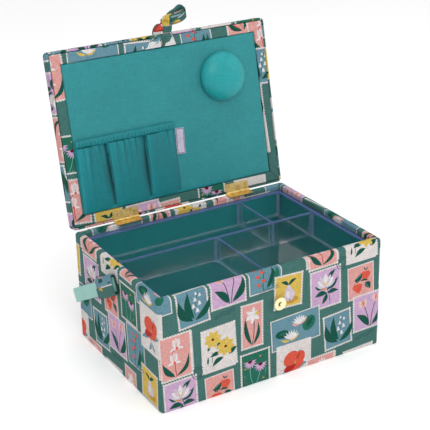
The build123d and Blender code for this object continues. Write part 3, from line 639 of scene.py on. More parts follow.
def cut_print(outline, lines, shapes):
    """Divides a flat sheet along its print. Gives (points, triangles, a colour for each)."""
    low = [min(p[k] for p in outline) for k in (0, 1)]
    high = [max(p[k] for p in outline) for k in (0, 1)]
    shapes = [
        (colour, shape)
        for colour, shape in shapes
        if all(max(p[k] for p in shape) > low[k] and min(p[k] for p in shape) < high[k] for k in (0, 1))
    ]
    points, edges = [], []
    for shape in [outline, *(shape for _, shape in shapes)]:
        first, count = len(points), len(shape)
        points += [Vector(p) for p in shape]
        edges += [(first + k, first + (k + 1) % count) for k in range(count)]
    for a, b in lines:
        edges.append((len(points), len(points) + 1))
        points += [Vector(a), Vector(b)]
    flat, _, cells, *_ = delaunay_2d_cdt(points, edges, [], 0, 1e-4, False)
    where = np.array([tuple(p) for p in flat])
    cells = np.array([tuple(c) for c in cells])
    middles = where[cells].mean(axis=1)
    kept = inside(middles, outline)
    cells, middles = cells[kept], middles[kept]
    tints = np.tile(np.array(GROUND), (len(cells), 1))
    for colour, shape in shapes:
        corners = np.array([tuple(p) for p in shape])
        near = np.flatnonzero(((middles > corners.min(0)) & (middles < corners.max(0))).all(axis=1))
        tints[near[inside(middles[near], shape)]] = colour
    return flat, cells.tolist(), tints.tolist()


def printed(name, outline, lines, shapes, place, finish, body, replaces=(), flip=False):
    """A printed cloth piece: place(u, v) gives each flat point's place and the way it faces."""
    flat, triangles, tints = cut_print(outline, lines, shapes)
    placed = [place(p.x, p.y) for p in flat]
    if flip:
        triangles = [t[::-1] for t in triangles]
    return build(
        name, [p for p, _ in placed], triangles, finish, body, replaces,
        normals=[n for _, n in placed], colours=tints, cloth=flat)


def grid_lines(half, roll, fine, coarse):
    """Places of grid lines from -half to half, closer near both ends."""
    ends = [half - roll * (1 - math.cos(math.pi / 2 * k / fine)) for k in range(fine + 1)]
    count = max(1, round((half - roll) * 2 / coarse))
    middle = [-(half - roll) + 2 * (half - roll) * k / count for k in range(1, count)]
    return [-e for e in ends] + middle + list(reversed(ends))


def rounded_box(plane, halves, roll, coarse=12.0, shape=None, fine=4):
    """Points and quads of a box with rolled edges. shape(x, y, z) can move each point."""
    points, faces = [], []
    rolls = [min(roll, h * 0.98) for h in halves]
    lines = [grid_lines(h, r, fine, coarse) for h, r in zip(halves, rolls)]
    for axis in range(3):
        a, b = (axis + 1) % 3, (axis + 2) % 3
        for sign in (-1, 1):
            first = len(points)
            for p in lines[a]:
                for q in lines[b]:
                    at = [0.0, 0.0, 0.0]
                    at[axis], at[a], at[b] = sign * halves[axis], p, q
                    core = [max(-(h - r), min(h - r, c)) for c, h, r in zip(at, halves, rolls)]
                    out = Vector([(c - k) / r for c, k, r in zip(at, core, rolls)])
                    out.normalize()
                    at = [k + o * r for k, o, r in zip(core, out, rolls)]
                    if shape:
                        at = shape(*at)
                    points.append(plane.at(*at))
            faces += quads(len(lines[a]), len(lines[b]), first, flip=sign > 0)
    return points, faces


def grid(plane, xs, ys, height):
    """Points and quads of a sheet over a plane; height(x, y) gives (x, y, z)."""
    return [plane.at(*height(x, y)) for y in ys for x in xs], quads(len(ys), len(xs))


def turned(plane, section, sides, shape=None):
    """Points and quads of a section (radius, height) turned about the plane's z axis."""
    points = []
    for radius, height in section:
        for k in range(sides):
            a = 2 * math.pi * k / sides
            r, h = shape(radius, height, a) if shape else (radius, height)
            points.append(plane.at(r * math.cos(a), r * math.sin(a), h))
    return points, quads(len(section), sides, closed=True)


# ================================================================ materials
def node(tree, kind, values=None, **settings):
    """Adds a node; values are numbers, or sockets to link from."""
    made = tree.nodes.new(kind)
    for key, value in settings.items():
        setattr(made, key, value)
    for key, value in (values or {}).items():
        if isinstance(value, bpy.types.NodeSocket):
            tree.links.new(value, made.inputs[key])
        else:
            made.inputs[key].default_value = value
    return made


def material(name, **values):
    """A Principled material; _ stands for a space. Returns (material, tree, shader)."""
    made = bpy.data.materials.new(name)
    made.use_nodes = True
    shader = made.node_tree.nodes["Principled BSDF"]
    for key, value in values.items():
        shader.inputs[key.replace("_", " ")].default_value = value
    return made, made.node_tree, shader


def wire(tree, shader, **sockets):
    for key, socket in sockets.items():
        tree.links.new(socket, shader.inputs[key.replace("_", " ")])


def place_on(tree):
    return node(tree, "ShaderNodeTexCoord").outputs["Object"]


def painted(tree, layer):
    return node(tree, "ShaderNodeVertexColor", layer_name=layer).outputs["Color"]


def noise(tree, vector, scale, detail=2.0, roughness=0.5):
    values = {"Vector": vector, "Scale": scale, "Detail": detail, "Roughness": roughness}
    return node(tree, "ShaderNodeTexNoise", values).outputs["Fac"]


def fibres(tree, vector, counts, detail=2.0, roughness=0.6):
    """Noise with a different count along each axis."""
    stretched = node(tree, "ShaderNodeMapping", {"Vector": vector, "Scale": counts}).outputs["Vector"]
    return noise(tree, stretched, 1.0, detail, roughness)


def ramp(tree, value, low, high, out_low, out_high):
    values = {"Value": value, "From Min": low, "From Max": high, "To Min": out_low, "To Max": out_high}
    return node(tree, "ShaderNodeMapRange", values).outputs["Result"]


def spread(tree, value, low, high):
    """A noise's useful middle, spread from low to high."""
    return ramp(tree, value, 0.3, 0.7, low, high)


def maths(tree, operation, a, *others):
    """One operation on two values, or on several in turn."""
    for b in others:
        a = node(tree, "ShaderNodeMath", {0: a, 1: b}, operation=operation).outputs[0]
    return a


def tinted(tree, colour, factor):
    """A colour, plain or from a socket, times a grey factor."""
    if not isinstance(colour, bpy.types.NodeSocket):
        base = node(tree, "ShaderNodeRGB")
        base.outputs[0].default_value = (*colour, 1)
        colour = base.outputs[0]
    return node(tree, "ShaderNodeVectorMath", {0: colour, 3: factor}, operation="SCALE").outputs["Vector"]


def blend(tree, factor, low, high):
    mixed = node(tree, "ShaderNodeMix", {"Factor": factor}, data_type="RGBA")
    mixed.inputs["A"].default_value = (*low, 1)
    mixed.inputs["B"].default_value = (*high, 1)
    return mixed.outputs["Result"]


def bumped(tree, shader, height, strength, distance):
    made = node(tree, "ShaderNodeBump", {"Height": height, "Strength": strength, "Distance": distance})
    wire(tree, shader, Normal=made.outputs["Normal"])


THREAD = 0.42                        # thread pitch of the cotton, mm


def weave(tree, cloth, pitch):
    """Height of a plain weave over cloth coordinates."""
    values = {"Vector": cloth, "Scale": UV_UNIT / pitch / 6.283 * 2, "Distortion": 0.6, "Detail": 1.0}
    bands = [node(tree, "ShaderNodeTexWave", values, bands_direction=axis).outputs["Fac"] for axis in "XY"]
    return maths(tree, "MULTIPLY", *bands)


def cotton_material(name="printed_cotton"):
    """Printed plain-weave cotton: slubs, faded ink, fine thread relief."""
    made, tree, shader = material(name, Sheen_Weight=0.02, Sheen_Roughness=0.5, Specular_IOR_Level=0.08)
    cloth = node(tree, "ShaderNodeUVMap", uv_map="cloth").outputs["UV"]
    slub_across = fibres(tree, cloth, (16, 150, 1))
    slub_along = fibres(tree, cloth, (150, 16, 1))
    cloudy = noise(tree, cloth, 5.0, 3.0, 0.6)
    coarse = fibres(tree, cloth, (75, 75, 1), roughness=0.7)
    slubs = ramp(tree, maths(tree, "ADD", slub_across, slub_along), 0.7, 1.3, 0.54, 0.83)
    fade = maths(tree, "MULTIPLY", spread(tree, cloudy, 0.95, 1.05), spread(tree, coarse, 0.84, 1.14))
    wire(
        tree, shader,
        Base_Color=tinted(tree, painted(tree, "print"), maths(tree, "MULTIPLY", slubs, fade)),
        Roughness=spread(tree, slub_along, 0.8, 0.92))
    relief = maths(tree, "ADD", weave(tree, cloth, THREAD), maths(tree, "ADD", slub_across, coarse))
    bumped(tree, shader, relief, 0.6, 0.0002)
    return made


def satin_material(name, colour, scale=1.0, rough=(0.42, 0.56), sheen=0.12, folded=False):
    """Satin: long floats one way, soft gloss, slight cloudiness. folded multiplies its colour by the painted
    shade and light kept in the mesh's 'print' colours.
    """
    made, tree, shader = material(
        name, Sheen_Weight=sheen, Sheen_Roughness=0.4, Sheen_Tint=(0.6, 0.95, 0.95, 1),
        Specular_IOR_Level=0.25)
    place = place_on(tree)
    floats = fibres(tree, place, (90 * scale, 620 * scale, 800 * scale))
    picks = fibres(tree, place, (760 * scale, 620 * scale, 110 * scale))
    cloudy = noise(tree, place, 26.0, 3.0, 0.55)
    both = maths(tree, "ADD", floats, picks)
    shade = maths(tree, "MULTIPLY", ramp(tree, both, 0.75, 1.25, 0.9, 1.09), spread(tree, cloudy, 0.94, 1.06))
    # painted shade and light from the mesh's 'print' colours
    if folded:
        shade = maths(tree, "MULTIPLY", shade, painted(tree, "print"))
    wire(tree, shader, Base_Color=tinted(tree, colour, shade), Roughness=spread(tree, floats, *rough))
    bumped(tree, shader, both, 0.35, 0.00018)
    return made


def brass_material(name, bright, dull):
    """Brushed brass, tarnished in patches."""
    made, tree, shader = material(name, Metallic=1.0)
    place = place_on(tree)
    brushed = fibres(tree, place, (260, 4200, 4200), 3.0)
    tarnish = ramp(tree, noise(tree, place, 240.0, 3.0, 0.6), 0.42, 0.72, 0.0, 1.0)
    colour = blend(tree, tarnish, bright, dull)
    wire(tree, shader, Base_Color=colour, Roughness=spread(tree, brushed, 0.3, 0.46))
    bumped(tree, shader, brushed, 0.15, 0.00008)
    return made


def plastic_material(name, colour, rough=(0.34, 0.46)):
    """Soft moulded plastic, or plated metal, with a fine grain."""
    made, tree, shader = material(name)
    place = place_on(tree)
    fine = noise(tree, place, 900.0)
    broad = spread(tree, noise(tree, place, 40.0), 0.96, 1.04)
    wire(tree, shader, Base_Color=tinted(tree, colour, broad), Roughness=spread(tree, fine, *rough))
    bumped(tree, shader, fine, 0.2, 0.00006)
    return made


def board_material(name, colour):
    """Grey board, mottled with fibres."""
    made, tree, shader = material(name)
    mottle = fibres(tree, place_on(tree), (500, 180, 500), 4.0, 0.7)
    shade = spread(tree, mottle, 0.85, 1.15)
    wire(tree, shader, Base_Color=tinted(tree, colour, shade), Roughness=spread(tree, mottle, 0.8, 0.95))
    bumped(tree, shader, mottle, 0.3, 0.0001)
    return made


# the tray's cells: outer walls, the long divider, the short ones in front of and behind it
CELL_X = 115.5
CELL_Y = 79.0
TRAY_CROSS = 13.5
TRAY_FRONT = -4.0
TRAY_BACK = 65.0
CROSS_HALF = 2.5
DIVIDER_HALF = 2.0
TRAY_UPRIGHTS = [
    (x, y)
    for at, side in ((TRAY_FRONT, -1), (TRAY_BACK, 1))
    for x in (-CELL_X, at - DIVIDER_HALF, at + DIVIDER_HALF, CELL_X)
    for y in (side * CELL_Y, TRAY_CROSS + side * CROSS_HALF)
]
FOOT_IN = 7.5                        # the tray's foot, in from its flange
EDGE_GLOW = 0.42                     # strength of the light along the foot of its walls


def clear_material():
    """Clear styrene: faint blue walls, and lilac light caught in its rims, upright corners and feet."""
    made, tree, shader = material("clear_styrene", IOR=1.3, Specular_IOR_Level=0.5)
    place = place_on(tree)
    apart = node(tree, "ShaderNodeSeparateXYZ", {"Vector": place})
    x, y, z = (apart.outputs[k] for k in "XYZ")
    low, high = box("tray")
    plan = node(tree, "ShaderNodeCombineXYZ", {"X": x, "Y": y}).outputs["Vector"]

    def size(value):
        return maths(tree, "ABSOLUTE", value, 0.0)

    def near(value, at):
        away = size(maths(tree, "SUBTRACT", value, at * MM))
        return ramp(tree, away, 1.6 * MM, 2.4 * MM, 1.0, 0.0)

    edges = [ramp(tree, z, (high.z - 1.7) * MM, (high.z - 1.2) * MM, 0.0, 1.0)]
    for at in TRAY_UPRIGHTS:
        values = {0: plan, 1: (at[0] * MM, at[1] * MM, 0)}
        away = node(tree, "ShaderNodeVectorMath", values, operation="DISTANCE").outputs["Value"]
        edges.append(ramp(tree, away, 1.2 * MM, 2.6 * MM, 0.9, 0.0))
    in_front = maths(tree, "LESS_THAN", y, TRAY_CROSS * MM)
    behind = maths(tree, "GREATER_THAN", y, TRAY_CROSS * MM)
    foot = maths(
        tree, "MAXIMUM",
        near(size(x), high.x - FOOT_IN), near(size(y), high.y - FOOT_IN), near(y, TRAY_CROSS),
        maths(tree, "MULTIPLY", near(x, TRAY_FRONT), in_front),
        maths(tree, "MULTIPLY", near(x, TRAY_BACK), behind))
    at_floor = ramp(tree, z, (low.z + 2.4) * MM, (low.z + 3.2) * MM, EDGE_GLOW, 0.0)
    edge = maths(tree, "MAXIMUM", *edges, maths(tree, "MULTIPLY", foot, at_floor))
    scuffs = noise(tree, place, 300.0, 4.0, 0.6)
    # painted light: the lilac light in the rims, upright corners and feet is painted into the colour, alpha
    # and transmission
    wire(
        tree, shader,
        Base_Color=blend(tree, edge, (0.86, 0.95, 1.0), (0.14, 0.2, 0.46)),
        Alpha=ramp(tree, edge, 0.0, 1.0, 0.13, 0.66),
        Transmission_Weight=ramp(tree, edge, 0.0, 1.0, 0.96, 0.25),
        Roughness=ramp(tree, scuffs, 0.4, 0.75, 0.02, 0.09))
    bumped(tree, shader, noise(tree, place, 45.0), 0.08, 0.0008)
    return made


COTTON = cotton_material()
LABEL_CLOTH = cotton_material("label_cloth")
SATIN = satin_material("lid_satin", srgb(40, 130, 134))
POCKET_SATIN = satin_material("pocket_satin", srgb(18, 121, 127), rough=(0.36, 0.5))
# satin darkened and lightened by the painted shade and light in its pieces' colours
SATIN_WITH_PAINTED_SHADE = satin_material("satin_with_painted_shade", srgb(18, 119, 126), rough=(0.34, 0.48), folded=True)
CUSHION_SATIN = satin_material("cushion_satin", srgb(32, 146, 149), rough=(0.28, 0.38))
WALL_SATIN = satin_material("wall_satin", srgb(20, 118, 120), rough=(0.4, 0.55))
BASE_CLOTH = satin_material("base_cloth", srgb(60, 116, 112), rough=(0.7, 0.85), sheen=0.1)
ELASTIC = satin_material("elastic", srgb(34, 120, 124), scale=2.0, rough=(0.6, 0.75))
BRASS = brass_material("brass", srgb(232, 206, 138), srgb(198, 158, 84))
BRASS_DARK = brass_material("brass_dark", srgb(206, 170, 96), srgb(168, 126, 62))
STRAP = plastic_material("mint_strap", srgb(124, 180, 171))
BUTTON = plastic_material("cream_gold_button", srgb(238, 226, 178), rough=(0.22, 0.34))
# painted shade: the dark crescent laid in the button's hollow
CRESCENT = plastic_material("painted_hollow_shade", srgb(58, 44, 30))
STEEL = plastic_material("plated_steel", srgb(196, 190, 176), rough=(0.25, 0.4))
CLEAR = clear_material()
BOARD = board_material("grey_board", srgb(150, 140, 122))


# ================================================================ case cover
WALL = Profile(HEM, 0, 180, [
    (HEM - 1, 0), (1, -90), (HEIGHT - 1 - RIM_ROUND, 0), (RIM_ROUND, -90),
    (RIM_WIDTH - RIM_ROUND - RIM_ROUND_IN, 0), (RIM_ROUND_IN, -90), (RIM_DROP - RIM_ROUND_IN + 1, 0),
], zero=1 - (HEM - 1) - math.pi / 2)

# name, way along, way out, half length, half depth to the wall, place of its middle on the sheet
SIDES = (
    ("front", (1, 0), (0, -1), HALF_W, HALF_D, 0.0),
    ("right", (0, 1), (1, 0), HALF_D, HALF_W, HALF_W + HALF_D),
    ("back", (-1, 0), (0, 1), HALF_W, HALF_D, 2 * HALF_W + 2 * HALF_D),
    ("left", (0, -1), (-1, 0), HALF_D, HALF_W, -HALF_W - HALF_D),
)


def case_cover():
    for name, along, out, half_a, half_b, middle in SIDES:
        along, out = Vector((*along, 0)), Vector((*out, 0))

        def place(u, t):
            inset, height, face_out, face_up = WALL.at(t)
            a, b, tilt_a, tilt_b = plan_point(u, inset, half_a, half_b, CORNER)
            normal = (along * tilt_a + out * tilt_b) * face_out + Vector((0, 0, face_up))
            return along * a + out * b + Vector((0, 0, height)), normal

        outline = strip_outline(half_a, WALL)
        low, high = outline[0][1], WALL.bends()[-1]
        shapes = repeat_print((middle - half_a, low), (middle + half_a, high), Vector((middle, 0)))
        piece = printed(
            f"{name}_wall_cover", outline, strip_lines(half_a, CORNER, WALL), shapes, place, COTTON, "case",
            ("case_cover", "rim_pad"))


case_cover()

# ================================================================ lid: cover, frame, lining
LID_ROLL = 4.0                       # outer face to the sides
SHELL_EDGE = 1.2                     # radius of the shell's free edge
FLAP_TUCK = 3.0                      # how far the flap goes on behind the shell's edge
CROWN = 1.2                          # padding of the outer face
LID_PRINT = Vector((34, 62))         # where the lid was cut from the sheet


def lid_cover():
    """One sheet over the lid's outer face, with a flap down each side and over the shell's edge."""
    depth = FACE - LID_OUT - SHELL_SET_BACK
    flap = Profile(LID_ROLL, 0, 180, [
        (LID_ROLL, 90), (depth - LID_ROLL - SHELL_EDGE, 0), (SHELL_EDGE, 180), (FLAP_TUCK, 0)], side=-1)
    flat_a, flat_b = LID_HALF_W - LID_ROLL, LID_HALF_L - LID_ROLL

    def place(u, v):
        over_u, over_v = abs(u) - flat_a, abs(v) - flat_b
        sign_u, sign_v = math.copysign(1, u), math.copysign(1, v)
        if over_v > -1e-6 and over_v >= over_u:
            inset, height, face_out, face_up = flap.at(max(over_v, 0))
            a, b, tilt_a, tilt_b = plan_point(u, inset, LID_HALF_W, LID_HALF_L, CORNER)
            x, y, normal = a, sign_v * b, (tilt_a * face_out, sign_v * tilt_b * face_out, face_up)
        elif over_u > -1e-6:
            inset, height, face_out, face_up = flap.at(over_u)
            a, b, tilt_a, tilt_b = plan_point(v, inset, LID_HALF_L, LID_HALF_W, CORNER)
            x, y, normal = sign_u * b, a, (sign_u * tilt_b * face_out, tilt_a * face_out, face_up)
        else:
            p, q = u / flat_a, v / flat_b
            height = CROWN * (1 - p * p) * (1 - q * q)
            normal = (2 * CROWN * p * (1 - q * q) / flat_a, 2 * CROWN * q * (1 - p * p) / flat_b, 1)
            x, y = u, v
        return LID.at(x, LID_MID - y, LID_OUT - height), LID.along(normal[0], -normal[1], -normal[2])

    bends = flap.bends()
    wide = bends[-1]
    insets = [flap.at(t)[0] for t in bends]
    top = [(LID_HALF_W - i, flat_b + t) for i, t in zip(insets, bends)]
    side = [(flat_a + t, LID_HALF_L - i) for i, t in zip(insets, bends)]
    quarter = side[::-1] + top[1:]
    outline = []
    for sign_x, sign_y, way in ((1, 1, 1), (-1, 1, -1), (-1, -1, 1), (1, -1, -1)):
        outline += [(sign_x * x, sign_y * y) for x, y in quarter[::way]]
    lines = []
    for sign in (-1, 1):
        lines += [((-x, sign * y), (x, sign * y)) for x, y in top[:-1]]
        lines += [((sign * x, -y), (sign * x, y)) for x, y in side[:-1]]
        for x in steps(LID_HALF_W - CORNER, LID_HALF_W, CORNER_STEPS)[:-1]:
            lines += [((sign * x, w * flat_b), (sign * x, w * (flat_b + wide))) for w in (-1, 1)]
        for y in steps(LID_HALF_L - CORNER, LID_HALF_L, CORNER_STEPS)[:-1]:
            lines += [((w * flat_a, sign * y), (w * (flat_a + wide), sign * y)) for w in (-1, 1)]
    lines += [((x, -flat_b), (x, flat_b)) for x in steps(-flat_a, flat_a, 16)[1:-1]]
    lines += [((-flat_a, y), (flat_a, y)) for y in steps(-flat_b, flat_b, 12)[1:-1]]
    reach = Vector((flat_a + wide, flat_b + wide))
    shapes = repeat_print(LID_PRINT - reach, LID_PRINT + reach, LID_PRINT)
    piece = printed("lid_outer_cover", outline, lines, shapes, place, COTTON, "lid", ("lid_cover",))


# the stamps that show on the lid's inner frame: picture, x, distance from the hinge, tilt
FRAME_STAMPS = (
    ("water_lilies", -79, 189, -2),
    ("bellflowers", -27, 163, -3),
    ("berries", 43, 176, 4),
    ("ribbon_leaves", 101, 193, 3),
    ("irises", 126, 170, 4),
    ("bellflowers", 118, 134, -1),
    ("tulips", 98, 92, 0),
    ("yellow_bloom", 100, 56, 2),
    ("irises", -131, 160, 3),
    ("lotus", -96.5, 128, 2),
    ("coneflowers", -124, 80, -3),
    ("irises", -124, 30, -4),
    ("pear", -88, -2, 2),
    ("tulips", -47, -8, 1),
    ("trumpet_lily", -14, -16, 2),
    ("coneflowers", 38, 2, -2),
    ("poppy", 88, -12, -1),
)
RAIL_ROLL = 1.6
RAIL_DEEP = 4.5
RAIL_CORNER = 2.0
MITRE_SINK = 0.9                     # depth of the fold along each mitre
MITRE_WIDE = 1.6
FRAME_HALF_W = LID_HALF_W - FRAME_INSET - 0.2
FRAME_HALF_L = LID_HALF_L - FRAME_INSET - 0.2
RAIL = Profile(0, -RAIL_DEEP, 90, [
    (RAIL_DEEP - RAIL_ROLL, 0), (RAIL_ROLL, -90), (FRAME_RAIL - 2 * RAIL_ROLL, 0),
    (RAIL_ROLL, -90), (RAIL_DEEP - RAIL_ROLL, 0)])


def lid_frame():
    """Four padded rails with mitred, folded corners."""
    stamps = []
    for kind, x, s, tilt in FRAME_STAMPS:
        stamps += stamp(kind, x, s - LID_MID, tilt)
    lead = RAIL.bends()[1] + RAIL_ROLL * math.pi / 2 - RAIL_ROLL
    rails = (
        ("rear", (1, 0), (0, -1), FRAME_HALF_W, FRAME_HALF_L),
        ("right", (0, 1), (1, 0), FRAME_HALF_L, FRAME_HALF_W),
        ("front", (-1, 0), (0, 1), FRAME_HALF_W, FRAME_HALF_L),
        ("left", (0, -1), (-1, 0), FRAME_HALF_L, FRAME_HALF_W),
    )
    for name, along, out, half_a, half_b in rails:
        along, out = Vector(along), Vector(out)

        def place(u, t):
            inset, height, face_out, face_up = RAIL.at(t)
            a, b, tilt_a, tilt_b = plan_point(u, inset, half_a, half_b, RAIL_CORNER)
            fold = max(0.0, 1 - (half_a - inset - abs(u)) / MITRE_WIDE)
            height -= MITRE_SINK * fold * fold
            plan = along * a + out * b
            lean = (along * tilt_a + out * tilt_b) * face_out
            lean += along * math.copysign(MITRE_SINK * fold, u) * face_up
            return LID.at(plan.x, LID_MID + plan.y, FACE + height), LID.along(lean.x, lean.y, face_up)

        lines = strip_lines(half_a, RAIL_CORNER, RAIL)
        for back in (0.5, 1.0, 1.7):
            ends = [(half_a - back - RAIL.at(t)[0], t) for t in RAIL.bends()]
            for (a0, t0), (a1, t1) in zip(ends, ends[1:]):
                lines += [((a0, t0), (a1, t1)), ((-a0, t0), (-a1, t1))]
        shapes = [
            (colour, [Vector((p.dot(along), half_b - p.dot(out) + lead)) for p in shape])
            for colour, shape in stamps
        ]
        piece = printed(
            f"lid_{name}_frame", strip_outline(half_a, RAIL), lines, shapes, place, COTTON, "lid",
            (f"lid_{name}_rail",))
        wide = RAIL.bends()[-1]


PANEL_HALF_W = FRAME_HALF_W - FRAME_RAIL - 0.3
PANEL_HALF_L = FRAME_HALF_L - FRAME_RAIL - 0.3
PANEL_DEEP = 3.0
ripple_seed = random.Random(7)
# waves across, waves along, phase, strength
RIPPLES = [
    [ripple_seed.uniform(*ends) for ends in ((0.02, 0.09), (0.02, 0.09), (0, 6.3), (0.3, 1))]
    for _ in range(9)
]


def ripple(x, y, size):
    """Gentle unevenness of stretched cloth."""
    return size * sum(w * math.sin(a * x + b * y + c) for a, b, c, w in RIPPLES) / 3


def lid_lining():
    plane = Plane(LID.at(0, LID_MID, PANEL_FACE - PANEL_DEEP), LID.x, LID.y)

    def soften(x, y, z):
        if z > 0:
            edge = min(PANEL_HALF_W - abs(x), PANEL_HALF_L - abs(y))
            pulled = 0.25 * math.exp(-edge / 5) * (1 + 0.5 * math.sin((x + y) * 0.5))
            z += ripple(x, y, 0.16) * min(1, edge / 12) - pulled
        return x, y, z

    points, faces = rounded_box(plane, (PANEL_HALF_W, PANEL_HALF_L, PANEL_DEEP), 1.4, 4.0, soften)
    piece = build("lid_lining_satin", points, faces, SATIN, "lid", ("lid_lining", "lid_wadding"))


CUSHION_AT = (68.7, 131.0)
CUSHION_R = 27.0
CUSHION_HIGH = 15.0
CUSHION_FOOT = 2.2                   # height at which it is widest


def pincushion():
    plane = Plane(LID.at(*CUSHION_AT, PANEL_FACE), LID.x, LID.y)
    section = [(CUSHION_R - 3.2, -0.3), (CUSHION_R - 1.6, 0.1)]
    for t in steps(0, math.pi / 2, 15)[:-1]:
        height = CUSHION_FOOT + (CUSHION_HIGH - CUSHION_FOOT) * math.sin(t)
        section.append((CUSHION_R * math.cos(t) ** 0.82, height))
    section.append((0.0, CUSHION_HIGH))

    def gather(radius, height, a):
        """Small gathers where the cover is drawn in at the foot."""
        tuck = math.exp(-height / 2.6)
        return radius * (1 + 0.012 * tuck * math.sin(38 * a) + 0.008 * tuck * math.sin(23 * a + 1)), height

    points, faces = turned(plane, section, 152, gather)
    piece = build("pincushion_dome", points, faces, CUSHION_SATIN, "lid", ("pincushion",))


# ================================================================ lid: pocket and label
POCKET_LEFT = -PANEL_HALF_W + 0.8
POCKET_RIGHT = 2.0
POCKET_FOOT = 15.0
POCKET_NECK = 84.5                   # the casing's lower edge
POCKET_TOP = 92.0
POCKET_PROUD = 5.2
FOLDS = ((-77.0, -79.5), (-34.5, -34.0))   # sewn bay lines: x at the foot, x at the neck
FOOT_BAND_END = 58.0                 # the band along the pocket's foot runs on past it to here
gather_seed = random.Random(11)
# place, width, length down from the casing, depth
GATHER_RANGES = ((POCKET_LEFT + 2, POCKET_RIGHT - 2), (1.0, 2.2), (6, 26), (0.6, 1.5))
GATHERS = [[gather_seed.uniform(*ends) for ends in GATHER_RANGES] for _ in range(40)]
POCKET_PLANE = Plane(LID.at(0, 0, PANEL_FACE), LID.x, LID.y)


def bay_lines(q):
    """Where the sides and sewn lines stand at a share of the pocket's height."""
    ease = q**1.6
    return [POCKET_LEFT, *(foot + (neck - foot) * ease for foot, neck in FOLDS), POCKET_RIGHT]


def pocket_height(x, q):
    """How far the cloth stands off the lining: full bays, and gathers that fade below the casing."""
    lines = bay_lines(q)
    bay = max(n for n in range(3) if x >= lines[n] or n == 0)
    share = min(1, max(0, (x - lines[bay]) / (lines[bay + 1] - lines[bay])))
    swell = math.sin(math.pi * share**0.4) ** 0.55 if 0 < share < 1 else 0
    height = 0.4 + (2.2 + 4.2 * q**0.7) * swell
    down = (1 - q) * (POCKET_NECK - POCKET_FOOT)
    for centre, wide, long, deep in GATHERS:
        away = x - centre - 0.12 * (centre - lines[bay]) * (1 - q)
        height += deep * math.exp(-((away / wide) ** 2)) * math.exp(-down / long) * (0.4 + 0.6 * swell)
    height -= 0.9 * math.exp(-down / 5)
    return max(0.3, min(height, POCKET_PROUD + 2.4))


def pocket_painted_shade(x, q):
    """Painted shade and light of the cloth: darker in the sewn folds, where it lies low on the lining and on
    slopes that face away to the right; lighter on slopes that face left.
    """
    slope = pocket_height(x + 0.5, q) - pocket_height(x - 0.5, q)
    low = math.exp(-max(pocket_height(x, q) - 0.3, 0) / 1.1)
    wide = 1.2 + 4.6 * max(0, math.sin(math.pi * min(1, 0.1 + 0.85 * q))) ** 1.5
    fold = max(math.exp(-(((line - x) / (wide if x < line else 0.7)) ** 2)) for line in bay_lines(q)[1:3])
    fold *= 0.3 + 0.7 * math.sin(math.pi * min(1, 0.12 + 0.76 * q))
    return max(0.2, min(1.3, 1.0 + 0.42 * max(-1, min(slope, 0.7)) - 0.22 * low - 0.62 * fold))


def pocket_cloth():
    xs = steps(POCKET_LEFT, POCKET_RIGHT, 170)
    shares = steps(0, 1, 56)

    def drape(x, q):
        edge = min(x - POCKET_LEFT, POCKET_RIGHT - x)
        rolled = min(1, edge / 1.2) ** 0.5
        height = 0.2 + (pocket_height(x, q) - 0.2) * rolled
        return x, POCKET_FOOT + (POCKET_NECK - POCKET_FOOT) * q, height

    points, faces = grid(POCKET_PLANE, xs, shares, drape)
    # painted shade and light, averaged into each face's colour
    painted_shades = [pocket_painted_shade(x, q) for q in shares for x in xs]
    colours = [(sum(painted_shades[n] for n in face) / 4,) * 3 for face in faces]
    return build("gathered_pocket", points, faces, SATIN_WITH_PAINTED_SHADE, "lid", ("pocket",), colours=colours)


def ruffle(x):
    fine = math.sin(x * 2.05 + 1.6 * math.sin(x * 0.31)) + 0.5 * math.sin(x * 3.4 + 2 * math.sin(x * 0.17))
    return 0.62 * fine


def pocket_casing():
    """A ruffled tube over the elastic, flat at its ends, with painted light and shade along its ruffles."""
    sides = 14
    points, colours = [], []
    xs = steps(POCKET_LEFT + 0.3, POCKET_RIGHT, 330)
    for x in xs:
        end = min(1, (x - POCKET_LEFT) / 5, (POCKET_RIGHT + 0.6 - x) / 5)
        middle = 0.9 + (POCKET_PROUD - 2.6) * max(0, end) ** 0.7
        tall = (POCKET_TOP - POCKET_NECK) / 2 + 0.4 + 0.35 * ruffle(x + 1.3)
        for k in range(sides):
            c, s = math.cos(2 * math.pi * k / sides), math.sin(2 * math.pi * k / sides)
            swell = 1.5 + 0.55 * ruffle(x) * (1 if s > 0 else 0.3)
            along = (POCKET_TOP + POCKET_NECK) / 2 + tall * math.copysign(abs(c) ** 0.8, c)
            points.append(POCKET_PLANE.at(x, along, middle + swell * s))
    # painted light and shade: each ruffle's faces are lighter on one side of the tube and darker on the other
    for x in xs[:-1]:
        ruffle_light_and_shade = 0.3 * ruffle(x + 0.4)
        colours += [(1.0 + ruffle_light_and_shade * math.sin(2 * math.pi * (k + 0.5) / sides),) * 3 for k in range(sides)]
    faces = quads(len(xs), sides, closed=True)
    faces += [list(range(sides))[::-1], [(len(xs) - 1) * sides + k for k in range(sides)]]
    colours += [(1.0,) * 3] * 2
    return build(
        "pocket_casing_ruffle", points, faces, SATIN_WITH_PAINTED_SHADE, "lid", ("pocket_casing",),
        colours=colours)


def foot_band():
    """The folded edge sewn down along the pocket's foot, with its line of stitches."""
    plane = Plane(
        LID.at((POCKET_LEFT + FOOT_BAND_END) / 2, POCKET_FOOT + 0.5, PANEL_FACE + 0.5), LID.x, LID.y)

    def stitched(x, y, z):
        if z > 0:
            z += 0.16 * math.sin(x * 2.6) * math.exp(-(((y - 0.5) / 0.35) ** 2))
        return x, y, z

    points, faces = rounded_box(plane, ((FOOT_BAND_END - POCKET_LEFT) / 2, 1.7, 0.75), 0.7, 0.8, stitched)
    return build("pocket_foot_band", points, faces, POCKET_SATIN, "lid")


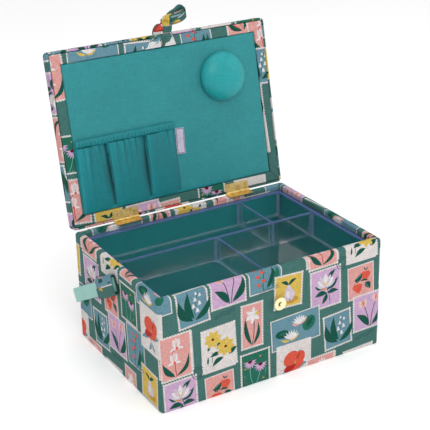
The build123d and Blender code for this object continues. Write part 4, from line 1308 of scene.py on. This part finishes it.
def elastic():
    across, along = (POCKET_LEFT + POCKET_RIGHT) / 2, (POCKET_TOP + POCKET_NECK) / 2
    plane = Plane(LID.at(across, along, PANEL_FACE + POCKET_PROUD - 1.7), LID.x, LID.y)
    points, faces = rounded_box(plane, ((POCKET_RIGHT - POCKET_LEFT) / 2 - 6, 2.6, 0.3), 0.25, 3.0)
    build("casing_elastic", points, faces, ELASTIC, "lid", ("pocket_elastic",))


def pocket():
    cloth, with_pieces = pocket_cloth(), [pocket_casing(), foot_band()]
    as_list(with_pieces)
    elastic()


LABEL_AT = (8.0, 70.0)
LABEL_HALF = (5.2, 14.2)
LABEL_TILT = -3.0
RIBBON_GROUND = srgb(222, 214, 236)
RIBBON_LINE = srgb(140, 130, 156)


def label():
    """A blank folded ribbon, sewn into the pocket's side seam."""
    turn = math.radians(LABEL_TILT)
    x = LID.along(math.cos(turn), math.sin(turn), 0)
    plane = Plane(LID.at(*LABEL_AT, PANEL_FACE + 0.35), x, LID.z.cross(x))
    half_x, half_y = LABEL_HALF
    shapes = [
        (colour, rectangle(half_x - inset, half_y - inset))
        for inset, colour in ((0, RIBBON_GROUND), (0.5, RIBBON_LINE), (1.3, RIBBON_GROUND))
    ]

    def place(u, v):
        bulge = (u / half_x + 1) * math.pi / 2
        lift = 0.5 * math.sin(bulge) + 0.25 * math.sin(v * 0.35)
        slope = 0.5 * math.pi / 2 / half_x * math.cos(bulge)
        return plane.at(u, v, lift), plane.along(-slope, -0.0875 * math.cos(v * 0.35), 1)

    lines = [((x, -half_y), (x, half_y)) for x in steps(-half_x, half_x, 8)[1:-1]]
    lines += [((-half_x, y), (half_x, y)) for y in steps(-half_y, half_y, 14)[1:-1]]
    outline = rectangle(half_x, half_y)
    piece = printed("blank_side_label", outline, lines, shapes, place, LABEL_CLOTH, "lid", ("blank_label",))


# ================================================================ bands: loop, strap, sleeves
class Band:
    """A flat band along a smooth path; each stop is (point, half width as a vector)."""

    def __init__(self, stops, thick, fine=10, bend=True):
        points = [Vector(p) for p, _ in stops]
        halves = [Vector(w) for _, w in stops]
        self.points, self.halves = [], []
        for k in range(len(points) - 1):
            for n in range(fine + (k == len(points) - 2)):
                t = n / fine
                self.points.append(self.curve(points, k, t) if bend else points[k].lerp(points[k + 1], t))
                self.halves.append(self.curve(halves, k, t) if bend else halves[k].lerp(halves[k + 1], t))
        self.distance = [0.0]
        for a, b in zip(self.points, self.points[1:]):
            self.distance.append(self.distance[-1] + (b - a).length)
        self.long = self.distance[-1]
        self.thick = thick

    @staticmethod
    def curve(values, k, t):
        """A smooth way (Catmull-Rom) through the values, at a share t of stretch k."""
        before = values[max(k - 1, 0)]
        a, b = values[k], values[k + 1]
        after = values[min(k + 2, len(values) - 1)]
        cubic = 1.5 * (a - b) + (after - before) / 2
        square = before - 2.5 * a + 2 * b - after / 2
        return a + t * ((b - before) / 2 + t * (square + t * cubic))

    def girth(self):
        """The way once round the band."""
        return 4 * (self.halves[0].length - self.thick / 2) + math.pi * self.thick

    def at(self, along, around, grow=1.0):
        """The place and facing at a distance along and round the band."""
        n = max(k for k in range(len(self.points) - 1) if self.distance[k] <= along or k == 0)
        span = self.distance[n + 1] - self.distance[n]
        t = min(1, max(0, (along - self.distance[n]) / span))
        point = self.points[n].lerp(self.points[n + 1], t)
        half = self.halves[n].lerp(self.halves[n + 1], t)
        low, high = max(n - 1, 0), min(n + 2, len(self.points) - 1)
        ahead = (self.points[high] - self.points[low]).normalized()
        wide = half - ahead * half.dot(ahead)
        width = wide.length
        wide = wide / width
        out = wide.cross(ahead)
        flat, round_end = width - self.thick / 2, math.pi * self.thick / 2
        scale = (4 * flat + 2 * round_end) / self.girth()
        p = (around % self.girth()) * scale
        if p < 2 * flat:
            a, b, na, nb = -flat + p, self.thick / 2, 0, 1
        elif p < 2 * flat + round_end:
            turn = (p - 2 * flat) / (self.thick / 2)
            na, nb = math.sin(turn), math.cos(turn)
            a, b = flat + na * self.thick / 2, nb * self.thick / 2
        elif p < 4 * flat + round_end:
            a, b, na, nb = flat - (p - 2 * flat - round_end), -self.thick / 2, 0, -1
        else:
            turn = math.pi + (p - 4 * flat - round_end) / (self.thick / 2)
            na, nb = math.sin(turn), math.cos(turn)
            a, b = -flat + na * self.thick / 2, nb * self.thick / 2
        return point + (wide * a + out * b) * grow, wide * na + out * nb


def band_lines(band, stations, edge_steps=4):
    """Edges a printed band needs: across at each station, along where its edges roll."""
    girth = band.girth()
    flat, round_end = 2 * (band.halves[0].length - band.thick / 2), math.pi * band.thick / 2
    rolls = []
    for n in (1, 2):
        start = flat * n + round_end * (n - 1)
        rolls += steps(start, start + round_end, edge_steps)
    lines = [((along, 0), (along, girth)) for along in stations]
    return lines + [((0, p), (band.long, p)) for p in rolls if 0 < p < girth - 1e-6]


def printed_band(name, band, stations, shapes, body, replaces, grow=None):
    """A printed band; grow(along) can draw it in or let it out."""
    girth = band.girth()

    def place(u, v):
        return band.at(u, v, grow(u) if grow else 1.0)

    outline = [(0, 0), (band.long, 0), (band.long, girth), (0, girth)]
    lines = band_lines(band, stations)
    return printed(name, outline, lines, shapes, place, COTTON, body, replaces, flip=True)


FOLD_AT = Vector(JOINTS["loop_fold"]["pos_m"]) / MM
LOOP_LEAN = math.radians(28.2)       # forward of upright, at rest
LOOP = Plane(FOLD_AT, (1, 0, 0), (0, -math.sin(LOOP_LEAN), math.cos(LOOP_LEAN)))


def button_loop():
    """A soft band folded in two: it rises from the frame, then flops to the right with its end open."""
    # place and half width of the band, in the loop's plane
    stops = (
        ((-6.5, -1.0, 0.2), (5.4, 0.6, 0.0)),
        ((-5.6, 3.0, -0.2), (6.6, 0.8, -0.2)),
        ((-4.8, 7.0, -0.8), (6.9, 2.0, -0.8)),
        ((-2.6, 11.0, -2.4), (5.0, 5.0, -1.6)),
        ((2.5, 12.6, -3.4), (1.8, 6.6, -1.8)),
        ((9.0, 13.2, -3.6), (0.4, 6.8, -1.8)),
        ((15.5, 14.4, -3.4), (-0.8, 6.8, -1.8)),
        ((21.5, 16.8, -3.0), (-1.6, 6.4, -1.8)),
        ((26.4, 18.4, -6.0), (-2.2, 6.2, -1.8)),
        ((22.5, 19.8, -9.8), (-2.0, 6.0, -1.6)),
        ((15.5, 18.0, -7.4), (-1.0, 6.0, -1.4)),
        ((9.0, 14.0, -6.4), (-3.0, 5.4, -0.8)),
        ((7.2, 8.5, -3.8), (-5.6, 2.4, -0.2)),
        ((7.0, 3.0, -1.6), (-5.6, -0.4, 0.0)),
        ((7.0, -1.0, -0.6), (-5.4, -0.6, 0.0)),
    )
    band = Band([(LOOP.at(*p), LOOP.along(*w)) for p, w in stops], 1.8, fine=8)
    girth = band.girth()
    face = girth / 2
    shapes = [
        patch(CREAM, (-1, 0), (3, 0), (5, face), (-1, face)),
        patch(BRICK, (3, -1), (14, -1), (15, face), (5, face)),
        patch(CORAL, (5, 2), (12, 3), (13, 10), (7, 9)),
        patch(CREAM, (13.4, -1), (15.4, -1), (18, face + 1), (16, face + 1)),
        patch(YELLOW, (15.4, -1), (24, -1), (27, face + 1), (18, face + 1)),
        patch(YELLOW, (12, face), (26, face), (26, girth), (12, girth)),
        patch(GROUND, (24, face), (60, face), (60, girth), (24, girth)),
        patch(SAGE, (27, face + 4), (40, face + 3), (42, face + 7), (28, face + 8)),
        patch(SKY, (26, face + 1.4), (38, face + 2), (38, face + 3.2), (27, face + 3)),
        leaf(CREAM, 33, face + 5, 11, 1.2, -8),
        leaf(GOLD, 27, girth - 4, 9, 2, 6),
        oval(YELLOW, 33, girth - 4.4, 6, 2.2, 5),
        leaf(LEAF, 24, girth - 5, 6, 2, -30),
        oval(GOLD, 22, girth - 6, 3, 2.4, 20),
        leaf(GOLD, 16, girth - 9, 7, 3, 20),
        patch(CREAM, (15, girth - 2.4), (47, girth - 2.2), (47, girth - 0.6), (15, girth - 0.6)),
        patch(PINK, (30, 3), (40, 4), (40, 11), (31, 12)),
        patch(LILAC, (62, face + 4), (70, face + 2), (70, face + 12), (63, face + 12)),
    ]
    loop = printed_band("loop_band", band, steps(0, band.long, 60)[1:-1], shapes, "loop", ("button_loop",))


TAIL_HALF = 18.0
TAIL_HIGH = 1.0


def loop_tail():
    """The loop's two sewn ends, splayed in a V over the frame."""
    first = LID_FRONT - FRAME_INSET - FRAME_RAIL + 0.6
    last = LID_FRONT + 0.3

    def place(u, v):
        q = (v - first) / (last - first)
        x = CATCH_X + u * (1 - 0.32 * q) - 1.5 * (1 - q)
        roll = 1 - (abs(u) / (TAIL_HALF + 0.2)) ** 8
        valley = math.exp(-((u / 1.6) ** 2))
        rise = TAIL_HIGH * roll * (1 - 0.75 * valley) + 0.3 * math.sin(q * math.pi) * math.cos(u * 0.52)
        slope = -math.copysign(1, u) * (0.9 * valley * abs(u) + 0.6 * (abs(u) / TAIL_HALF) ** 8)
        return LID.at(x, v, FACE + 0.05 + rise), LID.along(-slope if u else 0, 0, 1)

    shapes = [
        patch(GROUND, (0, 0), (18, 0), (18, 14), (0, 14)),
        patch(WHITE, (-18, 0), (-0.5, 0), (-1.2, 5), (-7, 8.5), (-18, 6)),
        patch(CREAM, (-18, 6.5), (-17, 6.5), (-8, 14), (-9.6, 14)),
        leaf(BLUE, -13, 7, 12, 4, 12),
        leaf(SKY, -9, 3, 9, 2.4, 40),
        leaf(SAGE, -14, 10.5, 8, 3, -8),
        patch(WHITE, (3, 0), (17, 0), (17.5, 7), (12, 9), (5, 3)),
        leaf(SAGE, 1, 1, 13, 6, 62),
        leaf(GROUND, 6, 3, 12, 3, 40),
        patch(CREAM, (16.8, 6), (18, 6), (16, 14), (14.8, 14)),
        leaf(GOLD, -0.6, 1, 7, 1.6, 90),
        oval(INK, -0.4, 0.6, 2, 1.6),
    ]
    shapes = [patch(colour, *shape, shift=(0, first)) for colour, shape in shapes]
    outline = [(-TAIL_HALF, first), (TAIL_HALF, first), (TAIL_HALF, last), (-TAIL_HALF, last)]
    lines = [((x, first), (x, last)) for x in steps(-TAIL_HALF, TAIL_HALF, 40)[1:-1]]
    lines += [((-TAIL_HALF, v), (TAIL_HALF, v)) for v in steps(first, last, 12)[1:-1]]
    piece = printed("loop_tail_cloth", outline, lines, shapes, place, COTTON, "lid", ("loop_tail",))


HANDLE_LOW = math.radians(29.0)      # the strap's rest, below level
HANDLE_Z = JOINTS["handle_swing"]["pos_m"][2] / MM
HANDLE = Plane((0, 0, HANDLE_Z), (1, 0, 0), (0, math.cos(HANDLE_LOW), -math.sin(HANDLE_LOW)))
STRAP_X = 132.3                      # middle of the strap's thickness
STRAP_BACK = 113.9
STRAP_END = -7.0
STRAP_THICK = 2.2
STRAP_WIDE = 15.5
STRAP_CORNER = 5.0
SLEEVE_FROM, SLEEVE_TO = -10.0, 36.0
SLEEVE_TURN = 1.3                    # roll of the sleeve's front end
SLEEVE_BACK_TURN = 0.9
SLEEVE_X = 130.4                     # its face against the case
SLEEVE_WIDE = 22.0
SLEEVE_THICK = 5.8


def rounded_corner(x, y, radius, sign, count=6):
    """Points round the strap's back corner, from the leg to the crossbar."""
    for a in steps(0, math.pi / 2, count):
        yield sign * (x - radius + radius * math.cos(a)), y - radius + radius * math.sin(a)


def handle_strap():
    leg = [(STRAP_X, y) for y in (STRAP_END, 30, 70)]
    path = [(-x, y) for x, y in leg]
    path += rounded_corner(STRAP_X, STRAP_BACK, STRAP_CORNER, -1)
    path += [(x, STRAP_BACK) for x in (-60, 0, 60)]
    path += [*rounded_corner(STRAP_X, STRAP_BACK, STRAP_CORNER, 1)][::-1]
    path += leg[::-1]
    half = HANDLE.z * STRAP_WIDE / 2
    band = Band([(HANDLE.at(x, y), half) for x, y in path], STRAP_THICK, fine=4, bend=False)
    girth = band.girth()
    round_end = math.pi * STRAP_THICK / 2
    flat = STRAP_WIDE - STRAP_THICK
    rounds = steps(0, round_end, 6)
    stations = [0, *(flat + r for r in rounds), *(2 * flat + round_end + r for r in rounds[:-1])]
    points = [band.at(d, min(p, girth - 1e-6))[0] for d in band.distance for p in stations]
    count = len(stations)
    faces = quads(len(band.distance), count, closed=True, flip=True)
    faces += [list(range(count)), [(len(band.distance) - 1) * count + k for k in range(count)][::-1]]
    build("mint_strap", points, faces, STRAP, "handle", ("handle_strap",))


def drawn_in(share, by):
    """How far a rounded end is drawn in, at a share of its roll."""
    share = min(1, max(0, share))
    return 1 - by + by * math.sqrt(1 - (1 - share) ** 2)


def sleeve_print(side, outer, inner, long, flat):
    """The print on a sleeve; outer and inner are where each flat side starts round the band."""
    shapes = [
        patch(BLUE, (-1, 8.6), (long + 1, 8.6), (long + 1, 23), (-1, 23)),
        patch(CREAM, (-1, 8.0), (30, 8.0), (31, 9.2), (-1, 9.2)),
        patch(CREAM, (long - 2.2, 8.6), (long - 1, 8.6), (long - 1, 22), (long - 2.2, 22)),
        patch(GOLD, (28, 4.2), (38, 6.4), (37, 9.6), (29, 8.0)),
        patch(YELLOW, (30, 5.4), (35, 6.8), (34.6, 8.4), (30.6, 7.4)),
        patch(LEAF, (22, 13.5), (34, 13.0), (33, 17.5), (24, 17.8)),
        patch(PINK, (23, 17.6), (34, 17.6), (29, 23.0)),
        patch(INK, (3, 10.4), (10, 10.6), (10, 12), (3, 12)),
        patch(CREAM, (-1, -3.0), (long + 1, -3.0), (long + 1, -1.7), (-1, -1.7)),
        patch(CREAM, (-1, 23), (long + 1, 23), (long + 1, 24), (-1, 24)),
    ]
    shapes = [patch(colour, *shape, shift=(0, outer)) for colour, shape in shapes]
    if side == "right":
        shapes = [(c, [Vector((p.x, 2 * outer + flat - p.y)) for p in shape]) for c, shape in shapes]
    return shapes + stamp("tulips", 24, inner + flat / 2, 90, 0.5)


def sleeves():
    for side, sign in (("left", -1), ("right", 1)):
        x = sign * (SLEEVE_X + SLEEVE_THICK / 2)
        half = HANDLE.z * SLEEVE_WIDE / 2
        ends = [(HANDLE.at(x, y), half) for y in (SLEEVE_FROM, SLEEVE_TO)]
        band = Band(ends, SLEEVE_THICK, fine=24, bend=False)
        girth, long = band.girth(), band.long

        def close(u):
            """Draws the sleeve in at its ends."""
            return drawn_in(u / SLEEVE_TURN, 0.14) * drawn_in((long - u) / SLEEVE_BACK_TURN, 0.2)

        outer = 0.0 if side == "left" else girth / 2
        shapes = sleeve_print(side, outer, girth / 2 - outer, long, SLEEVE_WIDE - SLEEVE_THICK)
        stations = [0.15, 0.4, 0.8, SLEEVE_TURN, 12, 24, long - SLEEVE_BACK_TURN, long - 0.5, long - 0.2]
        name = f"{side}_printed_sleeve"
        piece = printed_band(name, band, stations, shapes, "handle", (f"{side}_sleeve",), close)


# ================================================================ case lining, button, metal
def case_lining():
    for name in ("left_lining", "right_lining", "front_lining", "back_lining", "floor_lining"):
        low, high = box(name)
        middle, halves = (low + high) / 2, (high - low) / 2
        plane = Plane(middle, (1, 0, 0), (0, 1, 0))
        thin = min(range(3), key=lambda k: halves[k])
        first, second = [k for k in range(3) if k != thin]

        def soften(x, y, z):
            at = [x, y, z]
            edge = min(halves[first] - abs(at[first]), halves[second] - abs(at[second]))
            if abs(at[thin]) > halves[thin] * 0.6:
                swell = ripple(at[first], at[second], 0.12) - 0.1
                at[thin] += math.copysign(1, at[thin]) * swell * min(1, max(edge, 0) / 8)
            return at

        points, faces = rounded_box(plane, tuple(halves), 1.5 if halves[thin] > 2 else 0.9, 6.0, soften)
        piece = build(f"{name}_satin", points, faces, WALL_SATIN, "case", (name,))


BUTTON_AT = Vector(JOINTS["button_turn"]["pos_m"]) / MM
RING_R = 3.4                         # the raised ring round the button's middle
HOLLOW_FROM, HOLLOW_TO = 0.7, 2.7
HOLLOW_DEEP = 1.7
CRESCENT_R = 1.75
CRESCENT_STEPS = 20


def button():
    """A turned button: rolled rim, flat face, a ring round its middle with a hollow to one side."""
    low, high = box("button")
    radius = (high.x - low.x) / 2
    thick = high.y - low.y
    plane = Plane((BUTTON_AT.x, low.y, BUTTON_AT.z), (1, 0, 0), (0, 0, 1))
    section = [
        (0.0, -thick), (2.2, -thick), (radius - 1.0, -thick + 0.1), (radius - 0.3, -thick + 0.5),
        (radius, -thick * 0.5), (radius - 0.15, -0.35), (radius - 0.6, -0.05), (radius - 1.1, 0.0),
        (radius - 1.7, -0.25), (3.6, -0.3),
    ]
    section += [(r, -0.3 + 0.25 * math.sin(math.pi * (RING_R - r) / RING_R)) for r in steps(3.3, 0.0, 14)]

    def hollow(r, h, a):
        if HOLLOW_FROM < r < HOLLOW_TO:
            open_side = max(0.0, 0.55 + 0.45 * math.cos(a - 2.5))
            across = math.sin(math.pi * (r - HOLLOW_FROM) / (HOLLOW_TO - HOLLOW_FROM))
            h -= HOLLOW_DEEP * across**0.7 * open_side
        return r, h

    points, faces = turned(plane, section, 60, hollow)
    build("turned_button", points, faces, BUTTON, "button", ("button",))
    button_crescent_shade(plane)


def button_crescent_shade(plane):
    """A dark crescent of painted shade that lies in the hollow."""
    points = []
    for k in range(CRESCENT_STEPS + 1):
        share = k / CRESCENT_STEPS
        a = math.radians(55 + 215 * share)
        half = 0.12 + 0.62 * math.sin(math.pi * share) ** 0.7
        for side, h in ((-1, 0.02), (0, 0.1), (1, 0.02), (0, -0.5)):
            r = CRESCENT_R + side * half
            points.append(plane.at(r * math.cos(a), r * math.sin(a), h))
    faces = quads(CRESCENT_STEPS + 1, 4, closed=True)
    faces += [[3, 2, 1, 0], [CRESCENT_STEPS * 4 + n for n in range(4)]]
    build("button_crescent_shade", points, faces, CRESCENT, "button")


def paint(node_name, finish, bevel=0.0):
    """Gives a CAD node its material, and soft edges."""
    piece = frame["nodes"][node_name]
    piece.data.materials.clear()
    piece.data.materials.append(finish)
    if bevel:
        made = piece.modifiers.new("edges", "BEVEL")
        made.width = bevel * MM
        made.segments = 2
        made.limit_method = "ANGLE"
        made.angle_limit = math.radians(40)


# finish, bevel, and the CAD nodes that keep their shape
PAINTED = (
    (BOARD, 0.0, ("base_board", "left_board", "right_board", "front_board", "back_board", "lid_board")),
    (BASE_CLOTH, 0.0, ("base_cloth",)),
    (BRASS, 0.18, [f"{side}_hinge_{part}_leaf" for part in ("rim", "lid") for side in ("left", "right")]),
    (BRASS_DARK, 0.25, ("rim_hinge_rivets", "lid_hinge_rivets")),
    (BRASS_DARK, 0.1, ("left_hinge_pin", "right_hinge_pin")),
    (STEEL, 0.2, ("left_handle_rivet", "right_handle_rivet", "button_shank")),
    (CLEAR, 0.35, ("tray",)),
)


lid_cover()
lid_frame()
lid_lining()
pincushion()
pocket()
label()
loop_tail()
button_loop()
handle_strap()
sleeves()
case_lining()
button()
for finish, bevel, names in PAINTED:
    for name in names:
        paint(name, finish, bevel)

# ================================================================ camera, light, floor
CAMERA_AT = (-561.4, -956.9, 625.5)
CAMERA_TURN = 29.819                 # to the right of straight back
CAMERA_DOWN = 23.436
CAMERA_ROLL = -1.253
CAMERA_LENS = 98.587


def camera():
    turn, down, roll = (math.radians(a) for a in (CAMERA_TURN, CAMERA_DOWN, CAMERA_ROLL))
    ahead = Vector((math.sin(turn) * math.cos(down), math.cos(turn) * math.cos(down), -math.sin(down)))
    right = ahead.cross(Vector((0, 0, 1))).normalized()
    up = right.cross(ahead)
    right, up = right * math.cos(roll) + up * math.sin(roll), up * math.cos(roll) - right * math.sin(roll)
    made = bpy.data.objects.new("camera", bpy.data.cameras.new("camera"))
    bpy.context.scene.collection.objects.link(made)
    turned_to = Matrix((right, up, -ahead)).transposed().to_4x4()
    made.matrix_world = Matrix.Translation(Vector(CAMERA_AT) * MM) @ turned_to
    made.data.lens = CAMERA_LENS
    made.data.sensor_width = 36.0
    made.data.clip_start = 0.05
    bpy.context.scene.camera = made
    bpy.context.scene.view_settings.view_transform = "Standard"


def area_light(name, at, aim, size, power):
    data = bpy.data.lights.new(name, "AREA")
    data.shape = "RECTANGLE"
    data.size, data.size_y = size
    data.energy = power
    made = bpy.data.objects.new(name, data)
    bpy.context.scene.collection.objects.link(made)
    made.location = at
    made.rotation_euler = (Vector(aim) - Vector(at)).to_track_quat("-Z", "Y").to_euler()


FLOOR_HALF = 4.0                     # metres, as the lights are
FLOOR_DROP = 0.0002


def studio():
    """A pale floor in soft light, in metres."""
    world = bpy.data.worlds.new("studio")
    world.use_nodes = True
    sky = world.node_tree.nodes["Background"]
    sky.inputs["Color"].default_value = (1, 1, 1, 1)
    sky.inputs["Strength"].default_value = 0.78
    bpy.context.scene.world = world
    area_light("key", (-0.5, -1.5, 1.5), (0, 0, 0.12), (1.4, 1.0), 14)
    area_light("fill", (1.5, -1.0, 0.9), (0, 0, 0.12), (1.2, 1.2), 4)
    area_light("top", (0.0, -0.1, 1.9), (0, 0, 0.1), (1.6, 1.6), 7)

    mesh = bpy.data.meshes.new("floor")
    mesh.from_pydata([(*p, 0) for p in rectangle(FLOOR_HALF, FLOOR_HALF)], [], [(0, 1, 2, 3)])
    floor = bpy.data.objects.new("floor", mesh)
    floor.location.z = -FLOOR_DROP
    bpy.context.scene.collection.objects.link(floor)
    pale, *_ = material(
        "pale_floor", Roughness=0.9, Emission_Color=(1, 1, 1, 1), Emission_Strength=0.1,
        Base_Color=(0.96, 0.96, 0.96, 1))
    mesh.materials.append(pale)


camera()
studio()
